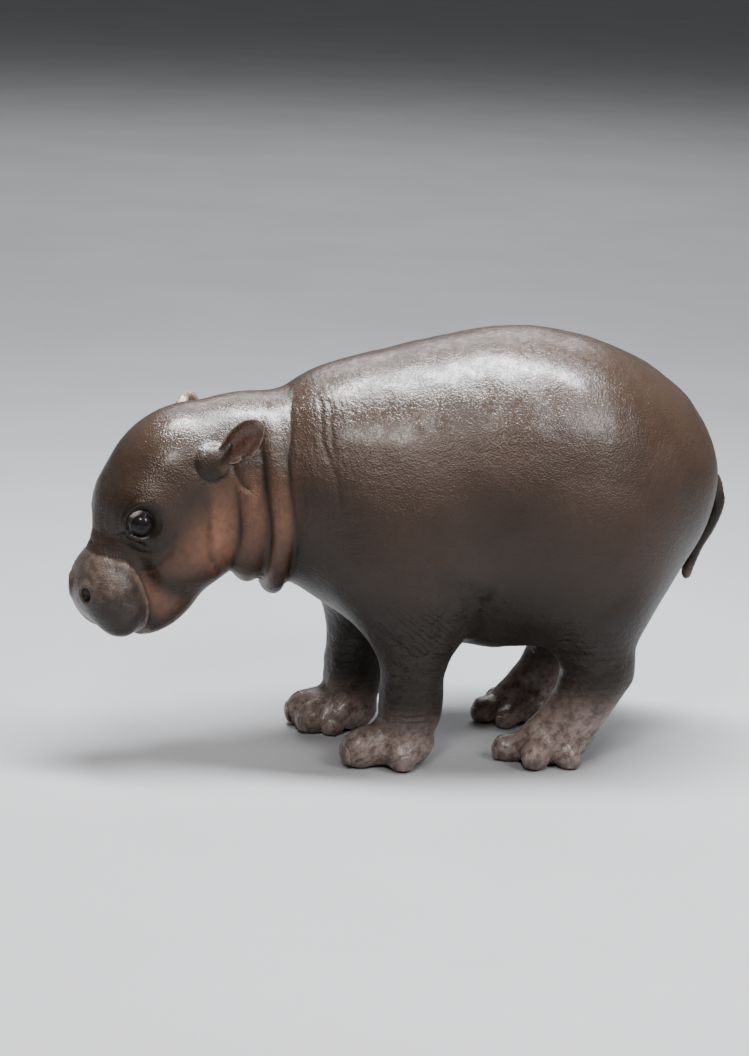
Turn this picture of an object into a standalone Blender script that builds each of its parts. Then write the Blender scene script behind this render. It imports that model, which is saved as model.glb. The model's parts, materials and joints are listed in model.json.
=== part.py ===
"""Pygmy hippopotamus calf, standing with its head low: a still, life-size model.

The animal faces -Y, +X is its left side and +Z is up. It stands on Z = 0.
Its flesh is a list of rounded masses that melt into each other. The masses are
joined, remeshed, settled on their smooth blend and thinned, and the body is then
parted into its members with narrow gaps. Ears, eyes, tail and nails are added.
"""
import math

import bmesh
import bpy
import numpy as np
from mathutils import Matrix, Vector

# Driving dimensions, in metres and degrees
GAP = 0.0003                 # clear space between neighbouring pieces
VOXEL = 0.0030               # grain of the first joined mesh
FLESH_TRIANGLES = 2900       # of the whole skin before it is parted
SOLE_DEPTH = 0.0012          # how much of each rounded foot the flat sole takes away
FLOOR = 0.0045               # height of the floor while the shapes are worked out
MODEL_SHIFT = (0.0, -0.0108, -FLOOR)   # brings the finished model onto Z = 0 and over the origin

HEAD_ORIGIN = (0.008, -0.150, 0.184)
HEAD_PITCH = 32.0            # nose down
HEAD_YAW = 16.0              # nose to the animal's left

EYE_CENTRE = (0.0262, -0.0325, 0.0050)      # in the head's own frame, left side
EYE_RADIUS = 0.0098
EYE_OPENING = 0.0083
EYE_GAZE = (0.93, -0.30, 0.20)

FRONT_ANKLE_X = 0.0415
REAR_ANKLE_X = 0.046
FRONT_LEG_Y = {1: 0.015, -1: -0.006}        # the left leg stands a little further back
REAR_LEG_Y = {1: 0.134, -1: 0.140}

# Toes: angle outwards from straight ahead, reach from the foot's middle, radius
FRONT_TOES = ((-60, 0.0195, 0.0085), (-24, 0.0250, 0.0108), (12, 0.0262, 0.0130), (92, 0.0165, 0.0105))
REAR_TOES = ((-40, 0.0250, 0.0078), (-4, 0.0315, 0.0094), (48, 0.0250, 0.0100), (106, 0.0190, 0.0088))
TOE_ROOTS = {"front": 0.016, "rear": 0.0125}     # height of the toes' roots
TOE_NAMES = ("inner", "front_inner", "front_outer", "outer")

TAIL_POINTS = ((0.0, 0.2000, 0.1960), (0.0, 0.2200, 0.1870), (0.0, 0.2268, 0.1760), (0.0, 0.2280, 0.1674),
               (0.0, 0.2228, 0.1534), (0.0, 0.2157, 0.1408), (0.0, 0.2108, 0.1268), (0.0, 0.2092, 0.1165))
TAIL_RADII = (0.0110, 0.0080, 0.0060, 0.0052, 0.0050, 0.0048, 0.0042, 0.0030)

EAR_BASE = (0.0360, 0.0290, 0.0040)         # in the head's own frame, left side
EAR_AXIS = (0.25, 0.82, 0.50)
EAR_OPENING = (0.92, -0.38, 0.02)           # the way the cup faces
EAR_LENGTH = 0.0385
EAR_HALF_WIDTH = 0.0118
EAR_CUP = 0.0062
EAR_THICKNESS = 0.0024

# Where the flesh is parted
NECK_TURN = 7.0                             # the neck's front end faces a little to the left
HEAD_END = -0.0930
NECK_END = -0.0500
JAW_TILT = 18.0                             # the jaw's top falls towards the chin
JAW_HINGE = (0.0, -0.0200, -0.0450)         # in the head's own frame
JAW_REAR = 0.0220
ANKLE = 0.0355
LEG_X = 0.0585
FRONT_SLEEVE = (-0.010, (0.045, 0.056), 0.128)   # y from the leg's own, plan radii, top
REAR_SLEEVE = (-0.014, (0.045, 0.060), 0.140)

COLOURS = {
    "head": (0.115, 0.078, 0.062), "jaw": (0.230, 0.128, 0.098), "neck": (0.175, 0.102, 0.080),
    "trunk": (0.098, 0.068, 0.055), "leg": (0.088, 0.062, 0.052), "foot": (0.165, 0.120, 0.104),
    "ear": (0.145, 0.085, 0.068), "tail": (0.030, 0.024, 0.022), "eye": (0.012, 0.009, 0.008),
    "nail": (0.200, 0.160, 0.140),
}
ROUGHNESS = {"eye": 0.05, "nail": 0.35}


def turn(axis, degrees):
    """A 3 x 3 rotation matrix about one world axis."""
    return np.array(Matrix.Rotation(math.radians(degrees), 3, axis))


HEAD_TURN = turn("Z", HEAD_YAW) @ turn("X", HEAD_PITCH)


def from_head(point, side=1):
    """A point of the head's own frame, mirrored for the right side, in world space."""
    local = np.array(point, float) * (side, 1, 1)
    return np.array(HEAD_ORIGIN) + HEAD_TURN @ local


def along_head(direction, side=1):
    """A unit direction of the head's own frame in world space."""
    local = HEAD_TURN @ (np.array(direction, float) * (side, 1, 1))
    return local / np.linalg.norm(local)


class Ball:
    """An ellipsoid mass. width is how softly it melts into the masses before it."""

    def __init__(self, centre, radii, width=0.0, tilt=0.0):
        self.centre = np.array(centre, float)
        self.radii = np.array(radii, float)
        self.rotation = turn("X", tilt)
        self.width = width

    def placed_by(self, origin, rotation):
        placed = Ball(np.array(origin) + rotation @ self.centre, self.radii, self.width)
        placed.rotation = rotation @ self.rotation
        return placed

    def distance(self, points):
        scaled = (points - self.centre) @ self.rotation / self.radii
        size = np.sqrt((scaled ** 2).sum(axis=1))
        slope = np.sqrt(((scaled / self.radii) ** 2).sum(axis=1))
        return size * (size - 1.0) / np.maximum(slope, 1e-9)

    def add_to(self, mesh):
        place = Matrix.Translation(self.centre) @ Matrix(self.rotation.tolist()).to_4x4()
        place = place @ Matrix.Diagonal((*self.radii, 1.0))
        bmesh.ops.create_icosphere(mesh, subdivisions=4, radius=1.0, matrix=place)


class Limb:
    """A straight mass with round ends whose radius tapers from start to end."""

    def __init__(self, start, end, start_radius, end_radius, width=0.0):
        self.start = np.array(start, float)
        self.end = np.array(end, float)
        self.radii = (start_radius, end_radius)
        self.width = width

    def placed_by(self, origin, rotation):
        shift = np.array(origin)
        return Limb(shift + rotation @ self.start, shift + rotation @ self.end, *self.radii, self.width)

    def distance(self, points):
        axis = self.end - self.start
        along = np.clip((points - self.start) @ axis / (axis @ axis), 0.0, 1.0)
        nearest = self.start + along[:, None] * axis
        radius = self.radii[0] + (self.radii[1] - self.radii[0]) * along
        return np.linalg.norm(points - nearest, axis=1) - radius

    def add_to(self, mesh):
        axis = Vector(self.end - self.start)
        middle = Vector((self.start + self.end) / 2)
        place = Matrix.Translation(middle) @ axis.to_track_quat("Z", "Y").to_matrix().to_4x4()
        bmesh.ops.create_cone(mesh, cap_ends=True, segments=24, radius1=self.radii[0],
                              radius2=self.radii[1], depth=axis.length, matrix=place)
        for point, radius in zip((self.start, self.end), self.radii):
            place = Matrix.Translation(point)
            bmesh.ops.create_icosphere(mesh, subdivisions=3, radius=radius, matrix=place)


class Group:
    """Masses that melt into each other before they join the rest."""

    def __init__(self, masses, width=0.0):
        self.masses = masses
        self.width = width

    def placed_by(self, origin, rotation):
        return Group([mass.placed_by(origin, rotation) for mass in self.masses], self.width)

    def distance(self, points):
        total = self.masses[0].distance(points)
        for mass in self.masses[1:]:
            total = melt(total, mass.distance(points), mass.width)
        return total

    def add_to(self, mesh):
        for mass in self.masses:
            mass.add_to(mesh)


def melt(first, second, width):
    """The smaller of two distances, rounded over where they differ by less than width."""
    share = np.clip(0.5 + 0.5 * (second - first) / width, 0.0, 1.0)
    return second * (1 - share) + first * share - width * share * (1 - share)


def trunk_masses():
    return [
        Ball((0, 0.079, 0.182), (0.088, 0.116, 0.1085)),                     # barrel
        Ball((0, 0.127, 0.186), (0.078, 0.097, 0.087), 0.030, 6),            # rump
        Ball((0, 0.002, 0.182), (0.074, 0.078, 0.092), 0.030),               # chest
        Ball((0, -0.047, 0.190), (0.060, 0.055, 0.0665), 0.030),             # withers
        Ball((-0.001, -0.088, 0.186), (0.049, 0.044, 0.062), 0.016, 14),     # neck
        Ball((-0.001, -0.0812, 0.1805), (0.0530, 0.0145, 0.0685), 0.004, 3),   # rear neck roll
        Ball((-0.003, -0.0978, 0.1825), (0.0495, 0.0125, 0.0620), 0.004, 4),   # front neck roll
    ]


def foot(centre, toes, side, root_height):
    """A padded foot whose toes fan out from its middle."""
    middle = np.array(centre, float)
    masses = [Ball(middle + (0, 0, 0.013), (0.021, 0.024, 0.0142))]
    for angle, reach, radius in toes:
        ahead = toe_direction(angle, side)
        root = middle + ahead * 0.008 + (0, 0, root_height)
        tip = middle + ahead * reach + (0, 0, radius - SOLE_DEPTH)
        masses.append(Limb(root, tip, radius * 1.10, radius, 0.0035))
    return Group(masses, 0.006)


def toe_direction(angle, side):
    return np.array((math.sin(math.radians(angle)) * side, -math.cos(math.radians(angle)), 0.0))


def front_foot_centre(side):
    return np.array((side * FRONT_ANKLE_X, FRONT_LEG_Y[side] - 0.014, FLOOR))


def rear_foot_centre(side):
    return np.array((side * (REAR_ANKLE_X - 0.001), REAR_LEG_Y[side] - 0.026, FLOOR))


def leg_masses(side):
    y = FRONT_LEG_Y[side]
    x = side * (FRONT_ANKLE_X + 0.001)
    front = [
        Ball((side * 0.046, 0.002, 0.146), (0.034, 0.040, 0.060), 0.030),    # shoulder
        Limb((x, y - 0.002, 0.112), (x, y - 0.006, 0.046), 0.028, 0.0178, 0.020),
        Limb((x, y - 0.006, 0.046), (x, y - 0.009, 0.022), 0.0170, 0.0185, 0.015),
        foot(front_foot_centre(side), FRONT_TOES, side, TOE_ROOTS["front"]),
    ]
    y = REAR_LEG_Y[side]
    x = side * (REAR_ANKLE_X + 0.003)
    rear = [
        Ball((side * 0.046, 0.128, 0.144), (0.040, 0.044, 0.060), 0.030, 14),  # haunch
        Limb((x, y - 0.008, 0.112), (x, y + 0.002, 0.068), 0.031, 0.0205, 0.020),
        Limb((x, y + 0.002, 0.068), (x, y - 0.014, 0.030), 0.0195, 0.0170, 0.015),
        Limb((x, y - 0.008, 0.050), (x, y - 0.046, 0.016), 0.0150, 0.0090, 0.012),   # instep
        foot(rear_foot_centre(side), REAR_TOES, side, TOE_ROOTS["rear"]),
    ]
    return front + rear


def head_masses():
    masses = [Ball((0, 0.013, 0.002), (0.043, 0.056, 0.046))]                # cranium
    for side in (1, -1):
        masses += [
            Ball((side * 0.016, -0.024, 0.004), (0.021, 0.022, 0.021), 0.014),       # brow
            Ball((side * 0.018, -0.010, -0.032), (0.025, 0.036, 0.028), 0.018),      # cheek
            Ball((side * 0.0145, -0.0695, -0.0335), (0.0195, 0.0188, 0.0262), 0.010, -18),
        ]
    masses += [
        Limb((0, -0.030, 0.001), (0, -0.070, -0.028), 0.0205, 0.0180, 0.012),       # nose bridge
        Ball((0, -0.036, -0.0520), (0.026, 0.038, 0.0230), 0.010, 14),                   # lower jaw
        Ball((0, 0.003, -0.042), (0.031, 0.034, 0.0200), 0.015),                      # throat
    ]
    for side in (1, -1):
        eye = np.array(EYE_CENTRE) * (side, 1, 1)
        masses.append(Ball(eye, (EYE_RADIUS + 0.0016,) * 3, 0.003))                  # lids
    return masses


def all_flesh():
    head = Group(head_masses(), 0.016).placed_by(HEAD_ORIGIN, HEAD_TURN)
    return Group(trunk_masses() + leg_masses(1) + leg_masses(-1) + [head])


def new_object(name, mesh):
    piece = bpy.data.objects.new(name, mesh)
    bpy.context.collection.objects.link(piece)
    return piece


def as_helper(piece):
    piece.hide_render = True
    piece.display_type = "WIRE"
    return piece


def from_bmesh(name, mesh):
    data = bpy.data.meshes.new(name)
    mesh.to_mesh(data)
    mesh.free()
    return new_object(name, data)


def apply_modifiers(piece):
    """Replace the object's mesh by what its modifiers make of it."""
    graph = bpy.context.evaluated_depsgraph_get()
    data = bpy.data.meshes.new_from_object(piece.evaluated_get(graph), depsgraph=graph)
    piece.modifiers.clear()
    piece.data = data


def coordinates(mesh):
    points = np.empty(len(mesh.vertices) * 3, np.float32)
    mesh.vertices.foreach_get("co", points)
    return points.reshape(-1, 3).astype(float)


def set_coordinates(mesh, points):
    mesh.vertices.foreach_set("co", points.astype(np.float32).ravel())
    mesh.update()


def settle(piece, flesh, offset=0.0, rounds=5):
    """Move every vertex along the flesh's slope until it lies offset outside the blend."""
    points = coordinates(piece.data)
    reach = 0.0004
    for _ in range(rounds):
        slope = np.stack([
            flesh.distance(points + step) - flesh.distance(points - step)
            for step in np.eye(3) * reach
        ], axis=1) / (2 * reach)
        steep = np.maximum((slope ** 2).sum(axis=1), 0.05)
        away = (flesh.distance(points) - offset) / steep
        points -= slope * np.clip(away, -0.004, 0.004)[:, None]
    set_coordinates(piece.data, points)


def make_flesh():
    """One closed skin over all the masses, thinned where the shape is plain."""
    flesh = all_flesh()
    mesh = bmesh.new()
    flesh.add_to(mesh)
    body = as_helper(from_bmesh("flesh", mesh))
    remesh = body.modifiers.new("join", "REMESH")
    remesh.mode = "VOXEL"
    remesh.voxel_size = VOXEL
    apply_modifiers(body)
    settle(body, flesh)
    smooth = body.modifiers.new("even", "SMOOTH")
    smooth.factor = 0.5
    smooth.iterations = 4
    apply_modifiers(body)
    settle(body, flesh, rounds=3)
    faces = sum(len(face.vertices) - 2 for face in body.data.polygons)
    thin = body.modifiers.new("thin", "DECIMATE")
    thin.ratio = FLESH_TRIANGLES / faces
    apply_modifiers(body)
    return body, flesh


def box(name, low, high, rotation=None, origin=(0, 0, 0)):
    """A closed box between two corners, turned about origin where a rotation is given."""
    mesh = bmesh.new()
    low, high = Vector(low), Vector(high)
    place = Matrix.Translation((low + high) / 2) @ Matrix.Diagonal((*(high - low), 1.0))
    if rotation is not None:
        place = Matrix.Translation(origin) @ Matrix(rotation.tolist()).to_4x4() @ place
    bmesh.ops.create_cube(mesh, size=1.0, matrix=place)
    return as_helper(from_bmesh(name, mesh))


def ellipsoid(name, centre, radii, rotation, segments, rings):
    mesh = bmesh.new()
    spin = Matrix(rotation.tolist()).to_4x4()
    place = Matrix.Translation(centre) @ spin @ Matrix.Diagonal((*radii, 1.0))
    bmesh.ops.create_uvsphere(mesh, u_segments=segments, v_segments=rings, radius=1.0, matrix=place)
    return as_helper(from_bmesh(name, mesh))


def leg_sleeve(name, centre, radii, top, grow=0.0):
    """An upright round-topped sleeve that holds one leg from the floor to its root."""
    mesh = bmesh.new()
    wide, deep = (value + grow for value in radii)
    cap = 0.045 + grow
    place = Matrix.Translation((*centre, top + grow - cap)) @ Matrix.Diagonal((wide, deep, cap, 1.0))
    bmesh.ops.create_uvsphere(mesh, u_segments=16, v_segments=6, radius=1.0, matrix=place)
    middle = top + grow - cap
    lower = [vert for vert in mesh.verts if vert.co.z < middle - 1e-5]
    bmesh.ops.delete(mesh, geom=lower, context="VERTS")
    rim = [edge for edge in mesh.edges if edge.is_boundary]
    skirt = bmesh.ops.extrude_edge_only(mesh, edges=rim)["geom"]
    for vert in (item for item in skirt if isinstance(item, bmesh.types.BMVert)):
        vert.co.z = -0.02
    bmesh.ops.holes_fill(mesh, edges=[edge for edge in mesh.edges if edge.is_boundary])
    bmesh.ops.recalc_face_normals(mesh, faces=mesh.faces)
    return as_helper(from_bmesh(name, mesh))


def cut(piece, operation, tool):
    """Apply one Boolean with the EXACT solver."""
    knife = piece.modifiers.new(operation.lower(), "BOOLEAN")
    knife.operation = operation
    knife.object = tool
    knife.solver = "EXACT"
    apply_modifiers(piece)


def copy_of(piece, name):
    return new_object(name, piece.data.copy())


def clean(piece):
    """Triangulate, drop slivers and keep the largest shell of the mesh."""
    mesh = bmesh.new()
    mesh.from_mesh(piece.data)
    bmesh.ops.triangulate(mesh, faces=mesh.faces)
    bmesh.ops.remove_doubles(mesh, verts=mesh.verts, dist=1e-5)
    bmesh.ops.dissolve_degenerate(mesh, dist=1e-5, edges=mesh.edges)
    seen, shells = set(), []
    for start in mesh.faces:
        if start in seen:
            continue
        shell, queue = [], [start]
        seen.add(start)
        while queue:
            face = queue.pop()
            shell.append(face)
            beside = {other for edge in face.edges for other in edge.link_faces} - seen
            seen |= beside
            queue.extend(beside)
        shells.append(shell)
    largest = max(shells, key=len)
    spare = [face for shell in shells if shell is not largest for face in shell]
    bmesh.ops.delete(mesh, geom=spare, context="FACES")
    bmesh.ops.triangulate(mesh, faces=mesh.faces)
    mesh.to_mesh(piece.data)
    mesh.free()


def material(name, kind):
    """A plain Principled finish for one sub-part."""
    finish = bpy.data.materials.new(name)
    finish.use_nodes = True
    shader = finish.node_tree.nodes["Principled BSDF"]
    shader.inputs["Base Color"].default_value = (*COLOURS[kind], 1.0)
    shader.inputs["Roughness"].default_value = ROUGHNESS.get(kind, 0.42)
    shader.inputs["Metallic"].default_value = 0.0
    finish.diffuse_color = (*COLOURS[kind], 1.0)
    return finish


def finish_piece(piece, kind):
    clean(piece)
    piece.hide_render = False
    piece.display_type = "TEXTURED"
    piece.data.materials.clear()
    piece.data.materials.append(material(piece.name, kind))
    piece.data.shade_smooth()
    piece.data.set_sharp_from_angle(angle=math.radians(50))


def nail_rotation(angle, side):
    """Turns a nail's own -Y to point out of its toe, leaning back a little."""
    return turn("Z", angle * side) @ turn("X", -14)


def nails_of(prefix, centre, toes, side):
    """The nail seats of one foot: a name, a place, radii and a turn for each toe."""
    nails = []
    for name, (angle, reach, radius) in zip(TOE_NAMES, toes):
        ahead = toe_direction(angle, side)
        place = centre + ahead * (reach + radius - 0.0022) + (0, 0, 0.0066)
        radii = (radius * 0.50, 0.0030, 0.0048)
        nails.append((f"nail_{prefix}_{name}", place, radii, nail_rotation(angle, side)))
    return nails


def all_nails():
    found = {}
    for side, word in ((1, "left"), (-1, "right")):
        for end, centre, toes in (("front", front_foot_centre(side), FRONT_TOES),
                                  ("rear", rear_foot_centre(side), REAR_TOES)):
            found[f"{end}_{word}"] = nails_of(f"{end}_{word}", centre, toes, side)
    return found


def make_ear(name, side, skin):
    """A cupped leaf: half width follows a round arc along its length, edges curl forward."""
    axis = along_head(EAR_AXIS, side)
    facing = along_head(EAR_OPENING, side)
    facing -= axis * (facing @ axis)
    facing /= np.linalg.norm(facing)
    across = np.cross(axis, facing)
    base = from_head(EAR_BASE, side)
    lengths, widths = 10, 8
    along = np.linspace(0.0, 1.0, lengths)[:, None]
    over = np.linspace(-1.0, 1.0, widths)[None, :]
    widest = 0.60
    rising = 0.50 + 0.50 * np.sin(np.clip(along / widest, 0, 1) * math.pi / 2)
    rounding = np.sqrt(np.clip(1 - ((along - widest) / (1.02 - widest)) ** 2, 0.03, 1))
    leaf = np.where(along < widest, rising, rounding)
    curl = EAR_CUP * (1 - 0.35 * along) * (over ** 2 - 0.6)
    tip_drop = EAR_LENGTH * (along - 0.05 * over ** 2)
    points = (base + tip_drop[..., None] * axis + (EAR_HALF_WIDTH * leaf * over)[..., None] * across
              + curl[..., None] * facing)
    first = [row * widths + col for row in range(lengths - 1) for col in range(widths - 1)]
    faces = [(corner, corner + 1, corner + widths + 1, corner + widths) for corner in first]
    data = bpy.data.meshes.new(name)
    data.from_pydata([tuple(point) for point in points.reshape(-1, 3)], [], faces)
    ear = new_object(name, data)
    thick = ear.modifiers.new("thickness", "SOLIDIFY")
    thick.thickness = EAR_THICKNESS
    thick.offset = 0.0
    apply_modifiers(ear)
    mesh = bmesh.new()
    mesh.from_mesh(ear.data)
    bmesh.ops.recalc_face_normals(mesh, faces=mesh.faces)
    mesh.to_mesh(ear.data)
    mesh.free()
    cut(ear, "DIFFERENCE", skin)
    finish_piece(ear, "ear")


def make_tail(name, skin):
    """A tapering round tail along a smooth path that hangs down the rump."""
    curve = bpy.data.curves.new(name, "CURVE")
    curve.dimensions = "3D"
    curve.bevel_depth = 1.0
    curve.bevel_resolution = 2
    curve.use_fill_caps = True
    spline = curve.splines.new("POLY")
    keys = np.array(TAIL_POINTS)
    count = 16
    place = np.linspace(0, len(keys) - 1, count)
    index = np.arange(len(keys))
    smooth = np.stack([np.interp(place, index, keys[:, k]) for k in range(3)], axis=1)
    smooth[1:-1] = (smooth[:-2] + 2 * smooth[1:-1] + smooth[2:]) / 4
    radius = np.interp(place, index, TAIL_RADII)
    spline.points.add(count - 1)
    for point, where, size in zip(spline.points, smooth, radius):
        point.co = (*where, 1.0)
        point.radius = size
    source = as_helper(new_object("tail_path", curve))
    graph = bpy.context.evaluated_depsgraph_get()
    data = bpy.data.meshes.new_from_object(source.evaluated_get(graph), depsgraph=graph)
    bpy.data.objects.remove(source)
    tail = new_object(name, data)
    mesh = bmesh.new()
    mesh.from_mesh(tail.data)
    bmesh.ops.remove_doubles(mesh, verts=mesh.verts, dist=1e-6)
    bmesh.ops.recalc_face_normals(mesh, faces=mesh.faces)
    mesh.to_mesh(tail.data)
    mesh.free()
    cut(tail, "DIFFERENCE", skin)
    finish_piece(tail, "tail")


def make_eyes(body):
    """Two round eyeballs, and the sockets and lid openings that they look out of."""
    for side, word in ((1, "left"), (-1, "right")):
        centre = from_head(EYE_CENTRE, side)
        gaze = Vector(along_head(EYE_GAZE, side))
        facing = np.array(gaze.to_track_quat("Z", "Y").to_matrix())
        socket = ellipsoid(f"socket_{word}", centre, (EYE_RADIUS + GAP,) * 3, facing, 16, 9)
        cut(body, "DIFFERENCE", socket)
        mesh = bmesh.new()
        place = Matrix.Translation(Vector(centre) + gaze * 0.010) @ Matrix(facing.tolist()).to_4x4()
        bmesh.ops.create_cone(mesh, cap_ends=True, segments=16, radius1=EYE_OPENING,
                              radius2=EYE_OPENING, depth=0.010, matrix=place)
        opening = as_helper(from_bmesh(f"opening_{word}", mesh))
        cut(body, "DIFFERENCE", opening)
        ball = ellipsoid(f"eye_shape_{word}", centre, (EYE_RADIUS,) * 3, facing, 16, 9)
        finish_piece(copy_of(ball, f"eye_{word}"), "eye")


def part_body(body):
    """Divide the flesh into head, jaw, neck, trunk, legs and feet with narrow gaps."""
    far = 0.4
    half = GAP / 2
    neck_turn = turn("Z", NECK_TURN)
    head_end = (0, HEAD_END, 0)
    neck_end = (0, NECK_END, 0)
    straight = turn("Z", 0)
    head = copy_of(body, "head")
    cut(head, "INTERSECT", box("head_region", (-far, -far, -far), (far, -half, far), neck_turn, head_end))
    neck = copy_of(body, "neck")
    cut(neck, "INTERSECT", box("neck_front", (-far, half, -far), (far, far, far), neck_turn, head_end))
    cut(neck, "INTERSECT", box("neck_rear", (-far, -far, -far), (far, -half, far), straight, neck_end))
    trunk = copy_of(body, "trunk")
    cut(trunk, "INTERSECT", box("trunk_region", (-far, half, -far), (far, far, far), straight, neck_end))

    jaw_turn = HEAD_TURN @ turn("X", JAW_TILT)
    hinge = from_head(JAW_HINGE)
    wide = 0.1
    jaw = copy_of(head, "jaw")
    below = box("jaw_region", (-wide, -wide, -wide), (wide, JAW_REAR, -half), jaw_turn, hinge)
    cut(jaw, "INTERSECT", below)
    space = box("jaw_space", (-wide, -wide, -wide), (wide, JAW_REAR + GAP, half), jaw_turn, hinge)
    cut(head, "DIFFERENCE", space)
    finish_piece(head, "head")
    finish_piece(jaw, "jaw")

    nails = all_nails()
    for side, word in ((1, "left"), (-1, "right")):
        for end, leg_y, (ahead, radii, top) in (("front", FRONT_LEG_Y[side], FRONT_SLEEVE),
                                                ("rear", REAR_LEG_Y[side], REAR_SLEEVE)):
            key = f"{end}_{word}"
            centre = (side * LEG_X, leg_y + ahead)
            sleeve = leg_sleeve(f"sleeve_{key}", centre, radii, top)
            space = leg_sleeve(f"space_{key}", centre, radii, top, GAP)
            leg = copy_of(body, f"leg_{key}")
            cut(leg, "INTERSECT", sleeve)
            for other in (trunk, neck):
                cut(other, "DIFFERENCE", space)
            paw = copy_of(leg, f"foot_{key}")
            cut(leg, "INTERSECT", box(f"above_{key}", (-far, -far, ANKLE + half), (far, far, far)))
            cut(paw, "INTERSECT", box(f"below_{key}", (-far, -far, -far), (far, far, ANKLE - half)))
            for name, place, size, rotation in nails[key]:
                seat = ellipsoid(f"seat_{name}", place, np.array(size) + GAP, rotation, 8, 5)
                cut(paw, "DIFFERENCE", seat)
                nail = copy_of(ellipsoid(f"shape_{name}", place, size, rotation, 8, 5), name)
                finish_piece(nail, "nail")
            finish_piece(leg, "leg")
            finish_piece(paw, "foot")
    finish_piece(neck, "neck")
    finish_piece(trunk, "trunk")


def main():
    for item in list(bpy.data.objects):
        bpy.data.objects.remove(item)
    body, flesh = make_flesh()
    skin = as_helper(copy_of(body, "grown_skin"))
    settle(skin, flesh, offset=GAP * 1.5, rounds=3)
    make_ear("ear_left", 1, skin)
    make_ear("ear_right", -1, skin)
    make_tail("tail", skin)
    cut(body, "INTERSECT", box("above_floor", (-0.5, -0.5, FLOOR), (0.5, 0.5, 0.5)))
    make_eyes(body)
    part_body(body)
    for piece in bpy.data.objects:
        if not piece.hide_render:
            set_coordinates(piece.data, coordinates(piece.data) + np.array(MODEL_SHIFT))


main()
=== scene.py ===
import json
import math

import bmesh
import bpy
import numpy as np
from mathutils import Matrix, Vector

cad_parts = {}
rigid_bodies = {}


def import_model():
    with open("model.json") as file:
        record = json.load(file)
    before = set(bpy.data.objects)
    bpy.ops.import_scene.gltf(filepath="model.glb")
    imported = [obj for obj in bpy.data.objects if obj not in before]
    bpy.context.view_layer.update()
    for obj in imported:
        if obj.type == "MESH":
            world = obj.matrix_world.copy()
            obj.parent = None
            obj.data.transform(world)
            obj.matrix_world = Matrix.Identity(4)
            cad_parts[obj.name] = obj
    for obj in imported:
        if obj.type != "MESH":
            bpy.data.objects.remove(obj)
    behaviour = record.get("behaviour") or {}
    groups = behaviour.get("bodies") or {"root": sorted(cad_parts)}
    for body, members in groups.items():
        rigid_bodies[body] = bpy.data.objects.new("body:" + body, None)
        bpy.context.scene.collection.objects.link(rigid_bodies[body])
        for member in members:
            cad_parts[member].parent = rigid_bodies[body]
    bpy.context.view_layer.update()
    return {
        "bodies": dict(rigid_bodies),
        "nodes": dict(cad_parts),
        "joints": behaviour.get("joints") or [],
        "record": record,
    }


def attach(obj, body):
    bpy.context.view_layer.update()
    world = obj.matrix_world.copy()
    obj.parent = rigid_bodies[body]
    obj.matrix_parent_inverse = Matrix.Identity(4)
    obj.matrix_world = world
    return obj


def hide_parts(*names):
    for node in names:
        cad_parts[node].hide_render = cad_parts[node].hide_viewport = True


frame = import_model()
print("frame loaded:", len(frame["nodes"]), "solids")

# The animal faces -Y, +X is its left side, +Z is up, and lengths are in metres. Shapes are worked out
# on a floor at floorHeight with the shoulders near Y = 0; modelShift then centres them over the origin.
floorHeight = 0.0045
modelShift = np.array((0.0, -0.0108, -floorHeight))


# Small tools for vectors, easing and noise.

def turn(axis, degrees):
    # rotation matrix about one of the main axes
    return np.array(Matrix.Rotation(math.radians(degrees), 3, axis))


def unit(vector):
    vector = np.asarray(vector, float)
    return vector / np.linalg.norm(vector, axis=-1, keepdims=True)


def fullTurn(count):
    # evenly spread angles right round
    return np.linspace(0, 2 * math.pi, count, endpoint=False)


def mirrored(values, side):
    # a point or direction given for the left side, put on the right where side is -1
    return np.array(values, float) * (side, 1, 1)


def smoothStep(low, high, value):
    # 0 below low, 1 above high, and 3t^2 - 2t^3 between
    t = np.clip((value - low) / (high - low), 0.0, 1.0)
    return t * t * (3 - 2 * t)


def hump(value, width):
    # a bell: e to the minus (value / width) squared
    return np.exp(-(value / width) ** 2)


def ripple(points, size, seed, octaves=3):
    # smooth noise, about -1 to 1: a sum of sine waves in random directions, finer each octave
    draw = np.random.default_rng(seed)
    total = np.zeros(len(points))
    weight = 0.0
    for octave in range(octaves):
        for _ in range(5):
            direction = unit(draw.normal(size=3)) * 2 * math.pi / size * 2 ** octave
            total += np.sin(points @ direction + draw.uniform(0, 2 * math.pi)) * 0.5 ** octave
            weight += 0.5 * 0.5 ** octave
    return total / weight * 0.9


def smoothPath(keys, count=60):
    # Catmull-Rom curve through the keys, read at evenly spread places
    keys = np.asarray(keys, float)
    padded = np.vstack((2 * keys[0] - keys[1], keys, 2 * keys[-1] - keys[-2]))
    place = np.linspace(0, len(keys) - 1 - 1e-9, count)
    k = place.astype(int)
    t = (place - k)[:, None]
    a, b, c, d = padded[k], padded[k + 1], padded[k + 2], padded[k + 3]
    return 0.5 * (2 * b + (c - a) * t + (2 * a - 5 * b + 4 * c - d) * t ** 2
                  + (3 * b - a - 3 * c + d) * t ** 3)


# Rounded masses: each is a distance, and a surface on a grid for the first mesh.

head = {"origin": (0.008, -0.150, 0.184), "pitch": 32.0, "yaw": 16.0}
headOrigin = np.array(head["origin"])
headTurn = turn("Z", head["yaw"]) @ turn("X", head["pitch"])


def fromHead(point, side=1):
    # headOrigin + headTurn times a point in the head's frame; toHead goes the other way
    return headOrigin + mirrored(point, side) @ headTurn.T


def alongHead(direction, side=1):
    return unit(mirrored(direction, side) @ headTurn.T)


def toHead(points):
    return (points - headOrigin) @ headTurn


def melt(first, second, width):
    # the smaller of two distances, rounded over where they differ by less than width
    share = np.clip(0.5 + 0.5 * (second - first) / width, 0.0, 1.0)
    return second * (1 - share) + first * share - width * share * (1 - share)


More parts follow.
